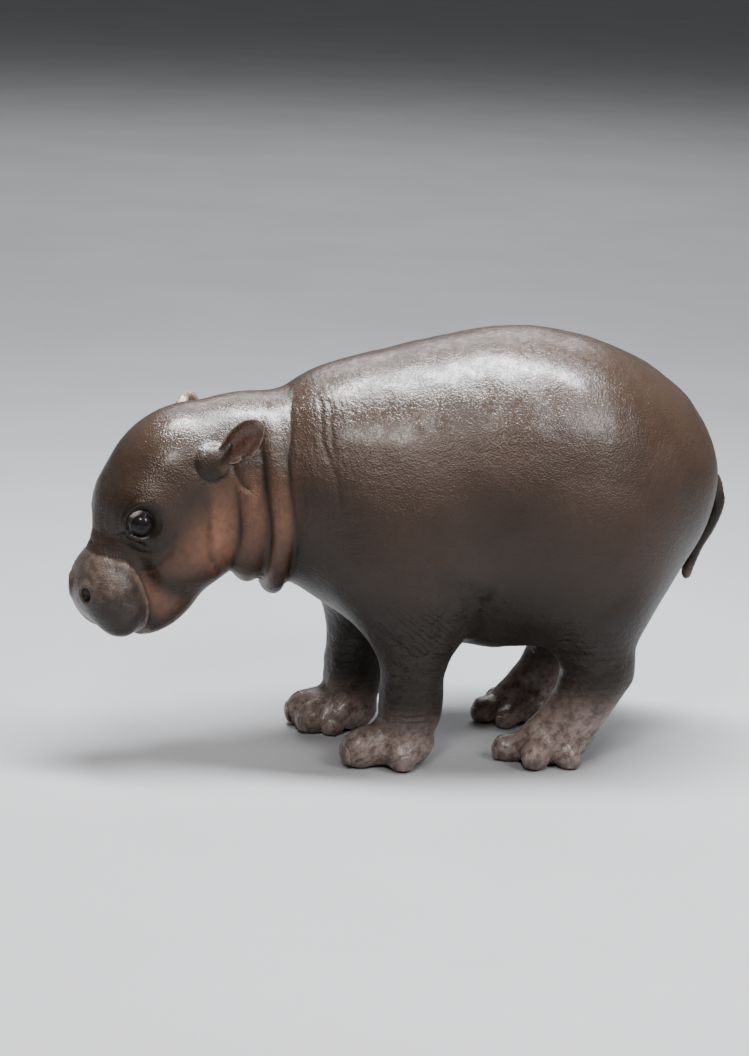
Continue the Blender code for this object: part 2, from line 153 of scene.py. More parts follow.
def carve(body, hole, width):
    # body outside the hole, with the edge rounded over width
    return -melt(-body, hole, width)


def roundDistance(scaled, radii):
    # about how far outside an ellipse or ellipsoid a point lies: size (size - 1) / slope, where scaled is
    # its place as a share of the radii
    size = np.sqrt((scaled ** 2).sum(axis=1))
    slope = np.sqrt(((scaled / radii) ** 2).sum(axis=1))
    return size * (size - 1.0) / np.maximum(slope, 1e-9)


reachOut = 0.035        # further from a mass than this, it melts into nothing


class Ball:
    # ellipsoid; width is how softly it melts into the masses before it
    def __init__(self, centre, radii, width=0.0, tilt=0.0, rotation=None):
        self.centre = np.array(centre, float)
        self.radii = np.array(radii, float)
        self.width = width
        self.rotation = turn("X", tilt) if rotation is None else rotation

    def placedBy(self, origin, rotation):
        return Ball(origin + rotation @ self.centre, self.radii, self.width,
                    rotation=rotation @ self.rotation)

    def near(self, points):
        return ((points - self.centre) ** 2).sum(axis=1) < (self.radii.max() + reachOut) ** 2

    def distance(self, points):
        return roundDistance((points - self.centre) @ self.rotation / self.radii, self.radii)

    def surface(self):
        # centre + rotation (radii * unit sphere at longitude u and latitude v)
        u, v = np.meshgrid(fullTurn(36), np.linspace(0.02, math.pi - 0.02, 20))
        sphere = np.stack((np.sin(v) * np.cos(u), np.sin(v) * np.sin(u), np.cos(v)), axis=-1)
        return [self.centre + (sphere * self.radii) @ self.rotation.T]


class Limb:
    # straight mass with round ends whose radius tapers from start to end
    def __init__(self, start, end, startRadius, endRadius, width=0.0):
        self.start = np.array(start, float)
        self.end = np.array(end, float)
        self.radii = (startRadius, endRadius)
        self.width = width

    def placedBy(self, origin, rotation):
        return Limb(origin + rotation @ self.start, origin + rotation @ self.end, *self.radii, self.width)

    def near(self, points):
        reach = np.linalg.norm(self.end - self.start) / 2 + max(self.radii) + reachOut
        return ((points - (self.start + self.end) / 2) ** 2).sum(axis=1) < reach ** 2

    def distance(self, points):
        axis = self.end - self.start
        along = np.clip((points - self.start) @ axis / (axis @ axis), 0.0, 1.0)
        away = np.linalg.norm(points - (self.start + along[:, None] * axis), axis=1)
        return away - (self.radii[0] + (self.radii[1] - self.radii[0]) * along)

    def surface(self):
        # a round profile carried along the axis, closed by half spheres at both ends
        frameTurn = np.array(Vector(self.end - self.start).to_track_quat("Z", "Y").to_matrix())
        length = np.linalg.norm(self.end - self.start)
        latitude = np.linspace(0.05, math.pi / 2, 7)
        radius = np.concatenate((np.sin(latitude) * self.radii[0], np.cos(latitude - 0.05) * self.radii[1]))
        height = np.concatenate((-np.cos(latitude) * self.radii[0],
                                 length + np.sin(latitude - 0.05) * self.radii[1]))
        angle = fullTurn(24)
        grid = np.stack((radius[:, None] * np.cos(angle), radius[:, None] * np.sin(angle),
                         height[:, None] + 0 * angle), axis=-1)
        return [self.start + grid[::-1] @ frameTurn.T]


class Ring:
    # a roll of flesh round the neck: an ellipse seen from the front, with a round section that thins
    # above fadeFrom; places gives how far along the body it lies at each height
    def __init__(self, centre, radii, section, places, width, fadeFrom=1.0):
        self.centre, self.radii, self.section = np.array(centre, float), np.array(radii, float), section
        self.places, self.width, self.fadeFrom = np.array(places, float), width, fadeFrom

    def placeAt(self, height):
        return np.interp(height, self.places[:, 0], self.places[:, 1])

    def near(self, points):
        return np.abs(points[:, 1] - self.places[:, 1].mean()) < self.section + reachOut

    def distance(self, points):
        flat = roundDistance((points[:, (0, 2)] - self.centre) / self.radii, self.radii)
        section = self.section * (1 - 0.75 * smoothStep(self.fadeFrom, self.fadeFrom + 0.030, points[:, 2]))
        return np.hypot(flat, points[:, 1] - self.placeAt(points[:, 2])) - section

    def surface(self):
        # the section's circle carried round the ellipse
        turned, around = np.meshgrid(np.linspace(0, 2 * math.pi, 41), fullTurn(12), indexing="ij")
        out = self.section * np.cos(around)
        x = self.centre[0] + (self.radii[0] + out) * np.cos(turned)
        z = self.centre[1] + (self.radii[1] + out) * np.sin(turned)
        return [np.stack((x, self.placeAt(z) + self.section * np.sin(around), z), axis=-1)]


class Group:
    # masses that melt into each other before they join the rest
    def __init__(self, masses, width=0.0):
        self.masses = masses
        self.width = width

    def placedBy(self, origin, rotation):
        return Group([mass.placedBy(origin, rotation) for mass in self.masses], self.width)

    def near(self, points):
        return np.any([mass.near(points) for mass in self.masses], axis=0)

    def distance(self, points):
        # each mass is only measured near it: further off it changes nothing
        total = self.masses[0].distance(points)
        for mass in self.masses[1:]:
            near = mass.near(points)
            if near.any():
                total[near] = melt(total[near], mass.distance(points[near]), mass.width)
        return total

    def surface(self):
        return [grid for mass in self.masses for grid in mass.surface()]


# The body's masses.

feet = {
    "frontX": 0.0415, "rearX": 0.046,
    "frontY": {1: 0.015, -1: -0.006},      # of each leg, left and right
    "rearY": {1: 0.134, -1: 0.140},
    # toes: angle outwards from straight ahead, reach from the foot's middle, radius
    "frontToes": ((-60, 0.0195, 0.0085), (-24, 0.0250, 0.0108), (12, 0.0262, 0.0130), (92, 0.0165, 0.0105)),
    "rearToes": ((-40, 0.0250, 0.0078), (-4, 0.0315, 0.0094), (48, 0.0250, 0.0100), (106, 0.0190, 0.0088)),
    "rootHeight": {"front": 0.016, "rear": 0.0125},
    "toeNames": ("inner", "front_inner", "front_outer", "outer"),
    "soleDepth": 0.0012,
}

tail = {
    "path": ((0.0, 0.2000, 0.1960), (0.0, 0.2200, 0.1870), (0.0, 0.2268, 0.1760), (0.0, 0.2280, 0.1674),
             (0.0, 0.2228, 0.1534), (0.0, 0.2157, 0.1408), (0.0, 0.2108, 0.1268), (0.0, 0.2092, 0.1165)),
    "radii": (0.0110, 0.0080, 0.0060, 0.0052, 0.0050, 0.0048, 0.0042, 0.0030),
    "rows": 64, "columns": 28, "rings": 150, "ringHeight": 0.02, "tipFrom": 0.94, "tipLength": 0.0605,
}

eye = {"centre": (0.0262, -0.0325, 0.0050), "radius": 0.0098, "gaze": (0.93, -0.30, 0.20)}
ear = {
    "root": (0.0404, 0.0303, 0.0124), "along": (0.285, 0.918, 0.272), "facing": (0.94, -0.35, 0.02),
    "length": 0.0355, "cup": 0.0070, "thickness": 0.0017, "press": 0.0048, "curl": 0.0007,
    "tipCurl": 0.0018, "ridge": 0.0024, "ridgeAt": -0.42, "sink": 0.0040,
    "inside": -0.26,       # how far its root reaches into the head, as a share of its length
    # share of its length against half width, above and below its middle line
    "upper": ((-0.30, 0.0048), (0, 0.0046), (0.2, 0.0072), (0.5, 0.0102), (0.75, 0.0096), (0.92, 0.0066),
              (0.985, 0.0034), (1, 0.0008)),
    "lower": ((-0.30, 0.0046), (0, 0.0050), (0.15, 0.0088), (0.40, 0.0124), (0.65, 0.0112), (0.86, 0.0074),
              (0.975, 0.0036), (1, 0.0008)),
}


def toeAhead(angle, side):
    return np.array((math.sin(math.radians(angle)) * side, -math.cos(math.radians(angle)), 0.0))


def footCentre(end, side):
    if end == "front":
        return np.array((side * feet["frontX"], feet["frontY"][side] - 0.014, floorHeight))
    return np.array((side * (feet["rearX"] - 0.001), feet["rearY"][side] - 0.026, floorHeight))


def footMasses(end, side):
    middle = footCentre(end, side)
    masses = [Ball(middle + (0, 0, 0.013), (0.021, 0.024, 0.0142))]
    for angle, reach, radius in feet[end + "Toes"]:
        ahead = toeAhead(angle, side)
        root = middle + ahead * 0.008 + (0, 0, feet["rootHeight"][end])
        tip = middle + ahead * reach + (0, 0, radius - feet["soleDepth"])
        masses.append(Limb(root, tip, radius * 1.10, radius, 0.0035))
    return Group(masses, 0.006)


def legMasses(side):
    y = feet["frontY"][side]
    x = side * (feet["frontX"] + 0.001)
    masses = [
        Ball((side * 0.046, 0.002, 0.146), (0.034, 0.040, 0.060), 0.030),
        Limb((x, y - 0.002, 0.112), (x, y - 0.006, 0.046), 0.028, 0.0178, 0.020),
        Limb((x, y - 0.006, 0.046), (x, y - 0.009, 0.022), 0.0170, 0.0185, 0.015),
        footMasses("front", side),
    ]
    y = feet["rearY"][side]
    x = side * (feet["rearX"] + 0.003)
    return masses + [
        Ball((side * 0.046, 0.128, 0.144), (0.040, 0.044, 0.060), 0.030, 14),
        Limb((x, y - 0.008, 0.112), (x, y + 0.002, 0.068), 0.031, 0.0205, 0.020),
        Limb((x, y + 0.002, 0.068), (x, y - 0.014, 0.030), 0.0195, 0.0170, 0.015),
        Limb((x, y - 0.008, 0.050), (x, y - 0.046, 0.016), 0.0150, 0.0090, 0.012),  # instep
        footMasses("rear", side),
    ]


def trunkMasses():
    return [
        Ball((0, 0.079, 0.182), (0.088, 0.116, 0.1085)),                   # barrel
        Ball((0, 0.127, 0.186), (0.078, 0.097, 0.087), 0.030, 6),          # rump
        Ball((0, 0.002, 0.182), (0.074, 0.078, 0.092), 0.030),             # chest
        Ball((0, -0.047, 0.190), (0.060, 0.055, 0.0665), 0.030),           # withers
        Ball((-0.001, -0.088, 0.186), (0.049, 0.044, 0.062), 0.016, 14),   # neck
        Ring((-0.001, 0.1812), (0.0452, 0.0609), 0.0082,                   # rear neck roll
             ((0.112, -0.0785), (0.160, -0.0812), (0.190, -0.0848), (0.225, -0.0860), (0.25, -0.0850)),
             0.004, 0.222),
        Ring((-0.002, 0.1825), (0.0420, 0.0540), 0.0082,                   # front neck roll
             ((0.118, -0.0958), (0.160, -0.0982), (0.190, -0.1020), (0.220, -0.1030)), 0.004, 0.186),
    ]


def headMasses():
    masses = [Ball((0, 0.013, 0.002), (0.043, 0.056, 0.046))]              # cranium
    for side in (1, -1):
        masses += [
            Ball((side * 0.016, -0.024, 0.004), (0.021, 0.022, 0.021), 0.014),      # brow
            Ball((side * 0.018, -0.010, -0.032), (0.025, 0.036, 0.028), 0.018),     # cheek
            Ball((side * 0.0145, -0.0695, -0.0335), (0.0195, 0.0188, 0.0262), 0.010, -18),    # pad
        ]
    masses += [
        Limb((0, -0.030, 0.001), (0, -0.070, -0.028), 0.0205, 0.0180, 0.012),       # nose bridge
        Ball((0, -0.036, -0.0520), (0.026, 0.038, 0.0230), 0.010, 14),              # lower jaw
        Ball((0, 0.003, -0.042), (0.031, 0.034, 0.0200), 0.015),                    # throat
    ]
    for side in (1, -1):
        masses += [
            Ball(mirrored(eye["centre"], side), (eye["radius"] + 0.0016,) * 3, 0.003),
            Ball((side * 0.0375, 0.0240, 0.0135), (0.0060, 0.0110, 0.0110), 0.004),     # knob by the ear
        ]
    return masses


trunkFlesh = Group(trunkMasses() + legMasses(1) + legMasses(-1))
headFlesh = Group(headMasses(), 0.016).placedBy(headOrigin, headTurn)


def bodyDistance(points):
    # distance to the plain body: the head only matters near the head
    total = trunkFlesh.distance(points)
    near = points[:, 1] < -0.03
    if near.any():
        total[near] = melt(total[near], headFlesh.distance(points[near]), headFlesh.width)
    return total


# The head's fine shapes.

eyeAxes = {}
for side in (1, -1):
    outward = unit(mirrored(eye["gaze"], side))
    upward = unit(np.array((0.0, 0.0, 1.0)) - outward * outward[2])
    eyeAxes[side] = (outward, np.cross(upward, outward) * side, upward)

lids = {
    "across": 61.0, "above": 57.0, "below": 63.0,      # half angles of the opening, degrees
    "corner": 7, "cornerAt": -20, "cornerWidth": 14,   # how much longer it is at the corner, degrees
    "ring": 0.0012, "ringOut": 8, "ringUp": 0.0014,    # lid roll: radius, and place outside the opening
    "melt": 0.0012, "rim": 0.0006,                     # rounding beside the roll and at the edge
    # creases round the opening: degrees outside it, depth, width and 1 above or -1 below the eye
    "creases": ((12.5, 0.0011, 0.00060, 1), (24.0, 0.0005, 0.00080, 1), (17.0, 0.0009, 0.00070, -1),
                (31.0, 0.0006, 0.00090, -1)),
}

nostril = {"centre": (0.0140, -0.0842, -0.0197), "axis": (0.42, -0.80, 0.42), "pit": 0.0040, "rim": 0.0058,
           "roll": 0.0017, "melt": 0.0030, "edge": 0.0016, "deep": 0.0060}


def eyePolar(points, side):
    # angle away from the gaze, angle round it (0 at the nose, 90 degrees up), and distance
    outward, forward, upward = eyeAxes[side]
    offset = toHead(points) - mirrored(eye["centre"], side)
    ahead, aside, up = offset @ outward, -(offset @ forward), offset @ upward
    return (np.degrees(np.arctan2(np.hypot(aside, up), ahead)), np.degrees(np.arctan2(up, aside)),
            np.linalg.norm(offset, axis=1))


def lidAngle(bearing):
    # the opening's half angle in each direction, longest towards its nose side corner
    phi = np.radians(bearing)
    high = np.where(np.sin(phi) > 0, lids["above"], lids["below"])
    flat = 1 / np.sqrt((np.cos(phi) / lids["across"]) ** 2 + (np.sin(phi) / high) ** 2)
    return flat + lids["corner"] * hump(bearing - lids["cornerAt"], lids["cornerWidth"])


def lidGap(points, side):
    # degrees outside the opening, bearing round it, and distance from the eye's centre
    away, bearing, distance = eyePolar(points, side)
    return away - lidAngle(bearing), bearing, distance


def headDistance(points):
    # the body with eye openings, lid rolls and nostrils
    total = bodyDistance(points)
    for side in (1, -1):
        away, bearing, distance = eyePolar(points, side)
        near = (distance < 0.022) & (away < 130)
        if near.any():
            gap, reach = away[near] - lidAngle(bearing[near]), distance[near]
            turned = np.radians(gap - lids["ringOut"])
            ring = np.hypot(reach * np.sin(turned), reach * np.cos(turned) - eye["radius"] - lids["ringUp"])
            part = melt(total[near], ring - lids["ring"], lids["melt"])
            total[near] = carve(part, reach * np.sin(np.radians(gap)), lids["rim"])
        offset = toHead(points) - mirrored(nostril["centre"], side)
        near = (offset ** 2).sum(axis=1) < 0.016 ** 2
        if near.any():
            axis = unit(mirrored(nostril["axis"], side))
            depth = offset[near] @ axis
            radius = np.linalg.norm(offset[near] - depth[:, None] * axis, axis=1)
            roll = np.hypot(radius - nostril["rim"], depth + 0.0006) - nostril["roll"]
            part = melt(total[near], roll, nostril["melt"])
            pit = np.hypot(radius, np.maximum(-depth - 0.002, 0) * 0.6) - nostril["pit"]
            total[near] = carve(part, pit, nostril["edge"])
    return total


# Meshes.

def newObject(name, mesh):
    piece = bpy.data.objects.new(name, mesh)
    bpy.context.scene.collection.objects.link(piece)
    return piece


def gridFaces(rows, columns, first=0, wrap=True, caps=True):
    # quads between neighbouring rows and columns, and one face over each open end
    row, column = np.meshgrid(np.arange(rows - 1), np.arange(columns if wrap else columns - 1),
                              indexing="ij")
    after = (column + 1) % columns
    quads = np.stack((row * columns + column, row * columns + after,
                      (row + 1) * columns + after, (row + 1) * columns + column), axis=-1)
    faces = (quads.reshape(-1, 4) + first).tolist()
    if caps:
        faces.append((first + np.arange(columns)[::-1]).tolist())
        faces.append((first + (rows - 1) * columns + np.arange(columns)).tolist())
    return faces


def meshFromGrids(name, grids, wrap=True, caps=True):
    points, faces, count = [], [], 0
    for grid in grids:
        rows, columns = grid.shape[:2]
        faces += gridFaces(rows, columns, count, wrap, caps)
        points.append(grid.reshape(-1, 3))
        count += rows * columns
    mesh = bpy.data.meshes.new(name)
    mesh.from_pydata(np.concatenate(points), [], faces)
    return mesh


def readPoints(mesh):
    flat = np.empty(len(mesh.vertices) * 3, np.float32)
    mesh.vertices.foreach_get("co", flat)
    return flat.reshape(-1, 3).astype(float)


def writePoints(mesh, points):
    mesh.vertices.foreach_set("co", np.ascontiguousarray(points, np.float32).ravel())
    mesh.update()


def readEdges(mesh):
    flat = np.empty(len(mesh.edges) * 2, np.int32)
    mesh.edges.foreach_get("vertices", flat)
    return flat.reshape(-1, 2)


def slopeOf(distance, points, reach=0.0004):
    # the distance's slope, from four steps at a tetrahedron's corners
    corners = np.array(((1, -1, -1), (-1, -1, 1), (-1, 1, -1), (1, 1, 1)), float)
    return sum(corner * distance(points + corner * reach)[:, None] for corner in corners) / (4 * reach)


def settle(points, distance, rounds=3, most=0.003):
    # slide each point along the slope to where the distance is nought
    for _ in range(rounds):
        slope = slopeOf(distance, points)
        steep = np.maximum((slope ** 2).sum(axis=1), 0.15)
        points = points - slope * np.clip(distance(points) / steep, -most, most)[:, None]
    return points


def relax(points, edges, rounds=1, share=0.5, where=None):
    # move each point towards the mean of its neighbours
    count = np.bincount(edges.ravel(), minlength=len(points))
    weight = share if where is None else share * where[:, None]
    for _ in range(rounds):
        total = np.stack([np.bincount(edges[:, 0], points[edges[:, 1], k], len(points))
                          + np.bincount(edges[:, 1], points[edges[:, 0], k], len(points))
                          for k in range(3)], axis=1)
        points = points + (total / np.maximum(count, 1)[:, None] - points) * weight
    return points


def refine(mesh, chosen):
    # cut every face whose points are all chosen into four
    work = bmesh.new()
    work.from_mesh(mesh)
    work.verts.ensure_lookup_table()
    picked = {work.verts[k] for k in np.flatnonzero(chosen)}
    edges = {edge for face in work.faces if all(vert in picked for vert in face.verts)
             for edge in face.edges}
    bmesh.ops.subdivide_edges(work, edges=list(edges), cuts=1, use_grid_fill=True)
    crowded = [face for face in work.faces if len(face.verts) > 4]
    bmesh.ops.triangulate(work, faces=crowded)
    work.to_mesh(mesh)
    work.free()


def normalsOf(mesh):
    flat = np.empty(len(mesh.vertices) * 3, np.float32)
    mesh.vertex_normals.foreach_get("vector", flat)
    return flat.reshape(-1, 3).astype(float)


skin = {
    "voxel": 0.0048,               # size of the first mesh's faces, halved up to three times by refine
    "neckEnd": -0.040, "legTop": 0.112, "footTop": 0.026,      # where the finer mesh ends
    "pinchAt": (-0.0885, 0.1270), "pinchReach": 0.0060,        # second neck crease under the throat
    # reach of the finer mesh round each of the head's fine shapes
    "fineReach": {"eye": 0.0165, "nostril": 0.0085, "ear": 0.0110, "fold": 0.0036, "collar": 0.0045},
    # rosy cheek: height of its upper edge in the head's frame, its rise towards the ear, and strength
    "cheekLine": -0.022, "cheekRise": 0.236, "cheekRosy": 0.66,
    "right": 0.7,                  # share of the neck's folds left on the side away from the turn
}


def makeFirstSkin():
    grids = trunkFlesh.surface() + headFlesh.surface()
    source = newObject("skinSource", meshFromGrids("skinSource", grids))
    remesh = source.modifiers.new("join", "REMESH")
    remesh.mode = "VOXEL"
    remesh.voxel_size = skin["voxel"]
    graph = bpy.context.evaluated_depsgraph_get()
    mesh = bpy.data.meshes.new_from_object(source.evaluated_get(graph), depsgraph=graph)
    bpy.data.objects.remove(source)
    points, edges = readPoints(mesh), readEdges(mesh)
    for _ in range(3):
        points = settle(points, bodyDistance, 2)
        points = relax(points, edges, 2)
    writePoints(mesh, settle(points, bodyDistance, 2))
    return mesh


def resettle(mesh, distance, where, rounds=3, most=0.0015):
    # even out and settle only the points that where picks
    points, edges = readPoints(mesh), readEdges(mesh)
    for _ in range(rounds):
        points = relax(points, edges, 1, 0.5, where.astype(float))
        points[where] = settle(points[where], distance, 2, most)
    writePoints(mesh, points)


def limbZone(points, low, high):
    # legs and feet between two heights, without the belly between them
    x, y, z = points.T
    belly = (z > 0.068) & ((np.abs(x) < 0.014) | (np.abs(y - 0.068) < 0.022))
    return (z > low) & (z < high) & ~belly


def headZone(points, grow):
    # round the eyes, nostrils, ear roots and the muzzle pad's edge
    zone, reach = np.zeros(len(points), bool), skin["fineReach"]
    for side in (1, -1):
        for centre, radius in ((eye["centre"], reach["eye"]), (nostril["centre"], reach["nostril"]),
                               (ear["root"], reach["ear"])):
            zone |= np.linalg.norm(points - fromHead(centre, side), axis=1) < radius * grow
    for fold in folds:
        if fold["fine"]:
            for side in (1, -1):
                zone |= alongPath(points, foldPath(fold, side))[0] < reach["fold"] * grow
    for collar in collars:
        across, depth = acrossCollar(points, collar)
        zone |= (np.abs(across) < reach["collar"] * grow) & (depth > 0.0006)
    return zone


def tailZone(points, reach):
    # the hanging part of the tail
    near = alongPath(points, smoothPath(tail["path"], 24))[0] < reach
    return near * smoothStep(0.183, 0.172, points[:, 2])


def lidZone(points, grow=0):
    # the lids' edges and the nostrils
    zone = np.zeros(len(points), bool)
    for side in (1, -1):
        gap, _, distance = lidGap(points, side)
        zone |= (gap > -24 - grow) & (gap < 26 + grow) & (distance < 0.0135)
        zone |= np.linalg.norm(points - fromHead(nostril["centre"], side), axis=1) < 0.0062
    return zone


# Folds: sharp valleys with full sides; where a fold has a lip, the side that over points to stands over
# the other. Keys lie in the head's frame, or on the body's left side; a front or rear fold moves with
# that leg. Every length in the two tables is in tenths of a millimetre.
tenths = 10000


def newFold(frame, depth, width, ends, keys, lip=0, over=(0, 0, 0), fine=True, ramp=0.22):
    # ends: how much of its depth a fold keeps at its two ends; ramp: how far along it the first reaches
    return {"frame": frame, "depth": depth / tenths, "width": width / tenths, "lip": lip / tenths,
            "keys": np.array(keys) / tenths, "ends": ends, "over": over, "fine": fine, "ramp": ramp}


folds = [
    # rear edge of the muzzle pad, over the nose and down to the corner of the mouth
    newFold("head", 13, 16, (0.0, 0.9),
          ((0, -655, -8), (100, -645, -26), (191, -599, -68), (226, -529, -129), (241, -504, -216),
           (240, -507, -316), (236, -528, -425), (228, -570, -520), (205, -612, -585)),
          lip=11, over=(0, -1, 0), ramp=0.5),
    # mouth, from that corner forward under the pad
    newFold("head", 20, 14, (0.8, 0.5),
          ((205, -600, -590), (170, -640, -635), (95, -700, -670), (0, -725, -680)),
          lip=3, over=(0, -0.5, 1)),
    # wrinkles across the nose behind the pad
    newFold("head", 4, 11, (1.0, 0.0),
          ((0, -610, 20), (84, -592, 18), (164, -561, -26), (214, -513, -81))),
    newFold("head", 3, 11, (1.0, 0.0),
          ((0, -552, 80), (113, -537, 53), (183, -508, 13), (240, -462, -30))),
    # bags below the eye, one inside the other
    newFold("head", 10, 13, (0.0, 0.0),
          ((222, -479, -40), (253, -445, -112), (310, -389, -153), (367, -313, -161), (399, -235, -132),
           (408, -180, -80))),
    newFold("head", 12, 16, (0.6, 0.0),
          ((243, -505, -240), (262, -457, -268), (338, -374, -235), (380, -297, -201), (402, -237, -161)),
          lip=4, over=(0, 0, -1)),
    newFold("head", 8, 12, (0.5, 0.0),
          ((240, -500, -290), (262, -452, -315), (321, -396, -286)), fine=False),
    # inner corner of the eye running down the side of the nose
    newFold("head", 9, 14, (0.4, 0.0),
          ((290, -428, 35), (242, -462, 30), (190, -505, 35), (130, -545, 50))),
    # under the knob before the ear, and the fold running down from the ear's root
    newFold("head", 13, 15, (0.0, 0.5),
          ((367, 175, 256), (405, 136, 184), (422, 141, 105), (430, 187, 42), (435, 267, 30),
           (440, 335, 40)), lip=8, over=(0, 0.3, 1)),
    newFold("head", 16, 22, (0.7, 0.0),
          ((424, 349, 70), (451, 332, 0), (479, 328, -80), (515, 352, -150))),
    # between the cheek and the first roll of the neck
    newFold("body", 24, 34, (0.0, 0.5),
          ((462, -1272, 1888), (461, -1279, 1764), (467, -1280, 1642), (455, -1263, 1483),
           (376, -1206, 1353)), lip=12, over=(0, 1, 0), fine=False),
    # fine lines over the shoulder, behind the neck
    newFold("body", 6, 10, (0.0, 0.0),
          ((258, -566, 2509), (368, -550, 2449), (475, -566, 2329), (530, -568, 2241),
           (591, -537, 2153), (646, -494, 2024), (678, -470, 1872), (695, -433, 1675))),
    newFold("body", 5, 9, (0.0, 0.0),
          ((339, -525, 2483), (404, -501, 2445), (503, -511, 2334), (574, -511, 2219), (641, -484, 2063))),
    # behind the elbow, and slanting over the upper arm
    newFold("front", 30, 42, (0.0, 0.8),
          ((838, 170, 1450), (834, 184, 1386), (800, 213, 1230), (768, 221, 1104), (700, 215, 980)),
          fine=False),
    newFold("front", 9, 22, (0.0, 0.5),
          ((696, -288, 1252), (750, -110, 1130), (749, 52, 1020), (711, 197, 939)), fine=False),
    newFold("front", 10, 22, (0.0, 0.5),
          ((783, -149, 1286), (798, 9, 1180), (780, 122, 1094), (737, 201, 1013)), fine=False),
    newFold("front", 9, 22, (0.0, 0.5),
          ((605, -277, 1081), (668, -113, 961), (687, 45, 868), (658, 201, 802)), fine=False),
    newFold("front", 8, 20, (0.0, 0.5),
          ((817, -26, 1292), (807, 85, 1195), (771, 177, 1090)), fine=False),
    # between belly and thigh, and over the ankle
    newFold("rear", 22, 45, (0.0, 0.9),
          ((853, 1468, 1299), (877, 1311, 1217), (845, 1175, 1089), (706, 1069, 915)), fine=False),
    newFold("rear", 10, 20, (0.6, 0.2),
          ((600, 1100, 826), (669, 1135, 826), (726, 1207, 824), (748, 1355, 843)), fine=False),
    newFold("rear", 10, 20, (0.6, 0.2),
          ((540, 1100, 716), (604, 1123, 714), (698, 1222, 707), (735, 1364, 745)), fine=False),
    # soft upright folds in the loose skin of the lower flank
    newFold("body", 22, 50, (0.0, 0.6),
          ((800, 362, 1384), (776, 362, 1284), (612, 421, 995)), fine=False),
    newFold("body", 18, 50, (0.0, 0.6),
          ((760, 500, 1320), (715, 486, 1205), (403, 593, 872)), fine=False),
]


def newCollar(width, shade, places, depths):
    # a crease right round the neck: place along the body against height, and depth against height
    return {"width": width / tenths, "shade": shade, "places": np.array(places) / tenths,
            "depths": np.array(depths) / tenths}


collars = [
    newCollar(42, 3.0,
           ((1150, -1095), (1302, -1097), (1430, -1085), (1561, -1077), (1725, -1086), (1851, -1101),
            (1975, -1127)),
           ((1150, 14), (1350, 24), (1650, 26), (1850, 16), (2000, 0))),
    newCollar(30, 1.5,
           ((1100, -881), (1225, -881), (1395, -882), (1564, -889), (1731, -904), (1888, -924),
            (2097, -942), (2224, -947), (2500, -940)),
           ((1150, 4), (1350, 16), (1550, 26), (1850, 28), (2120, 22), (2280, 6), (2350, 0))),
    newCollar(28, 1.6,
           ((1100, -721), (1226, -721), (1429, -721), (1609, -726), (1804, -753), (1986, -778),
            (2145, -786), (2282, -760), (2409, -744), (2485, -714)),
           ((1100, 8), (1400, 22), (1800, 20), (2150, 18), (2350, 12), (2520, 3))),
]


def foldPath(fold, side):
    # the keys' smooth path, laid on the skin
    if fold["frame"] == "head":
        path = fromHead(fold["keys"], side)
    else:
        leg = feet.get(fold["frame"] + "Y", {1: 0.0, -1: 0.0})
        path = fold["keys"] * (side, 1, 1) + (0, leg[side] - leg[1], 0)
    return settle(smoothPath(path, 36), headDistance, 3)


def alongPath(points, path):
    # distance to the path, place along it from 0 to 1, and the step from the path to each point
    distance = np.full(len(points), 1.0)
    place = np.zeros(len(points))
    step = np.zeros((len(points), 3))
    low, high = path.min(axis=0) - 0.02, path.max(axis=0) + 0.02
    near = np.flatnonzero(((points > low) & (points < high)).all(axis=1))
    for k in range(len(path) - 1):
        axis = path[k + 1] - path[k]
        share = np.clip((points[near] - path[k]) @ axis / (axis @ axis), 0, 1)
        away = points[near] - path[k] - share[:, None] * axis
        length = np.linalg.norm(away, axis=1)
        closer = length < distance[near]
        chosen = near[closer]
        distance[chosen] = length[closer]
        place[chosen] = (k + share[closer]) / (len(path) - 1)
        step[chosen] = away[closer]
    return distance, place, step


def acrossCollar(points, collar):
    # how far behind the crease a point lies, and how deep the crease is there
    place = smoothPath(collar["places"], 80)
    across = points[:, 1] - np.interp(points[:, 2], place[:, 0], place[:, 1])
    depth = np.interp(points[:, 2], *collar["depths"].T)
    return across, depth * (1 - (1 - skin["right"]) * smoothStep(0.02, -0.03, points[:, 0]))


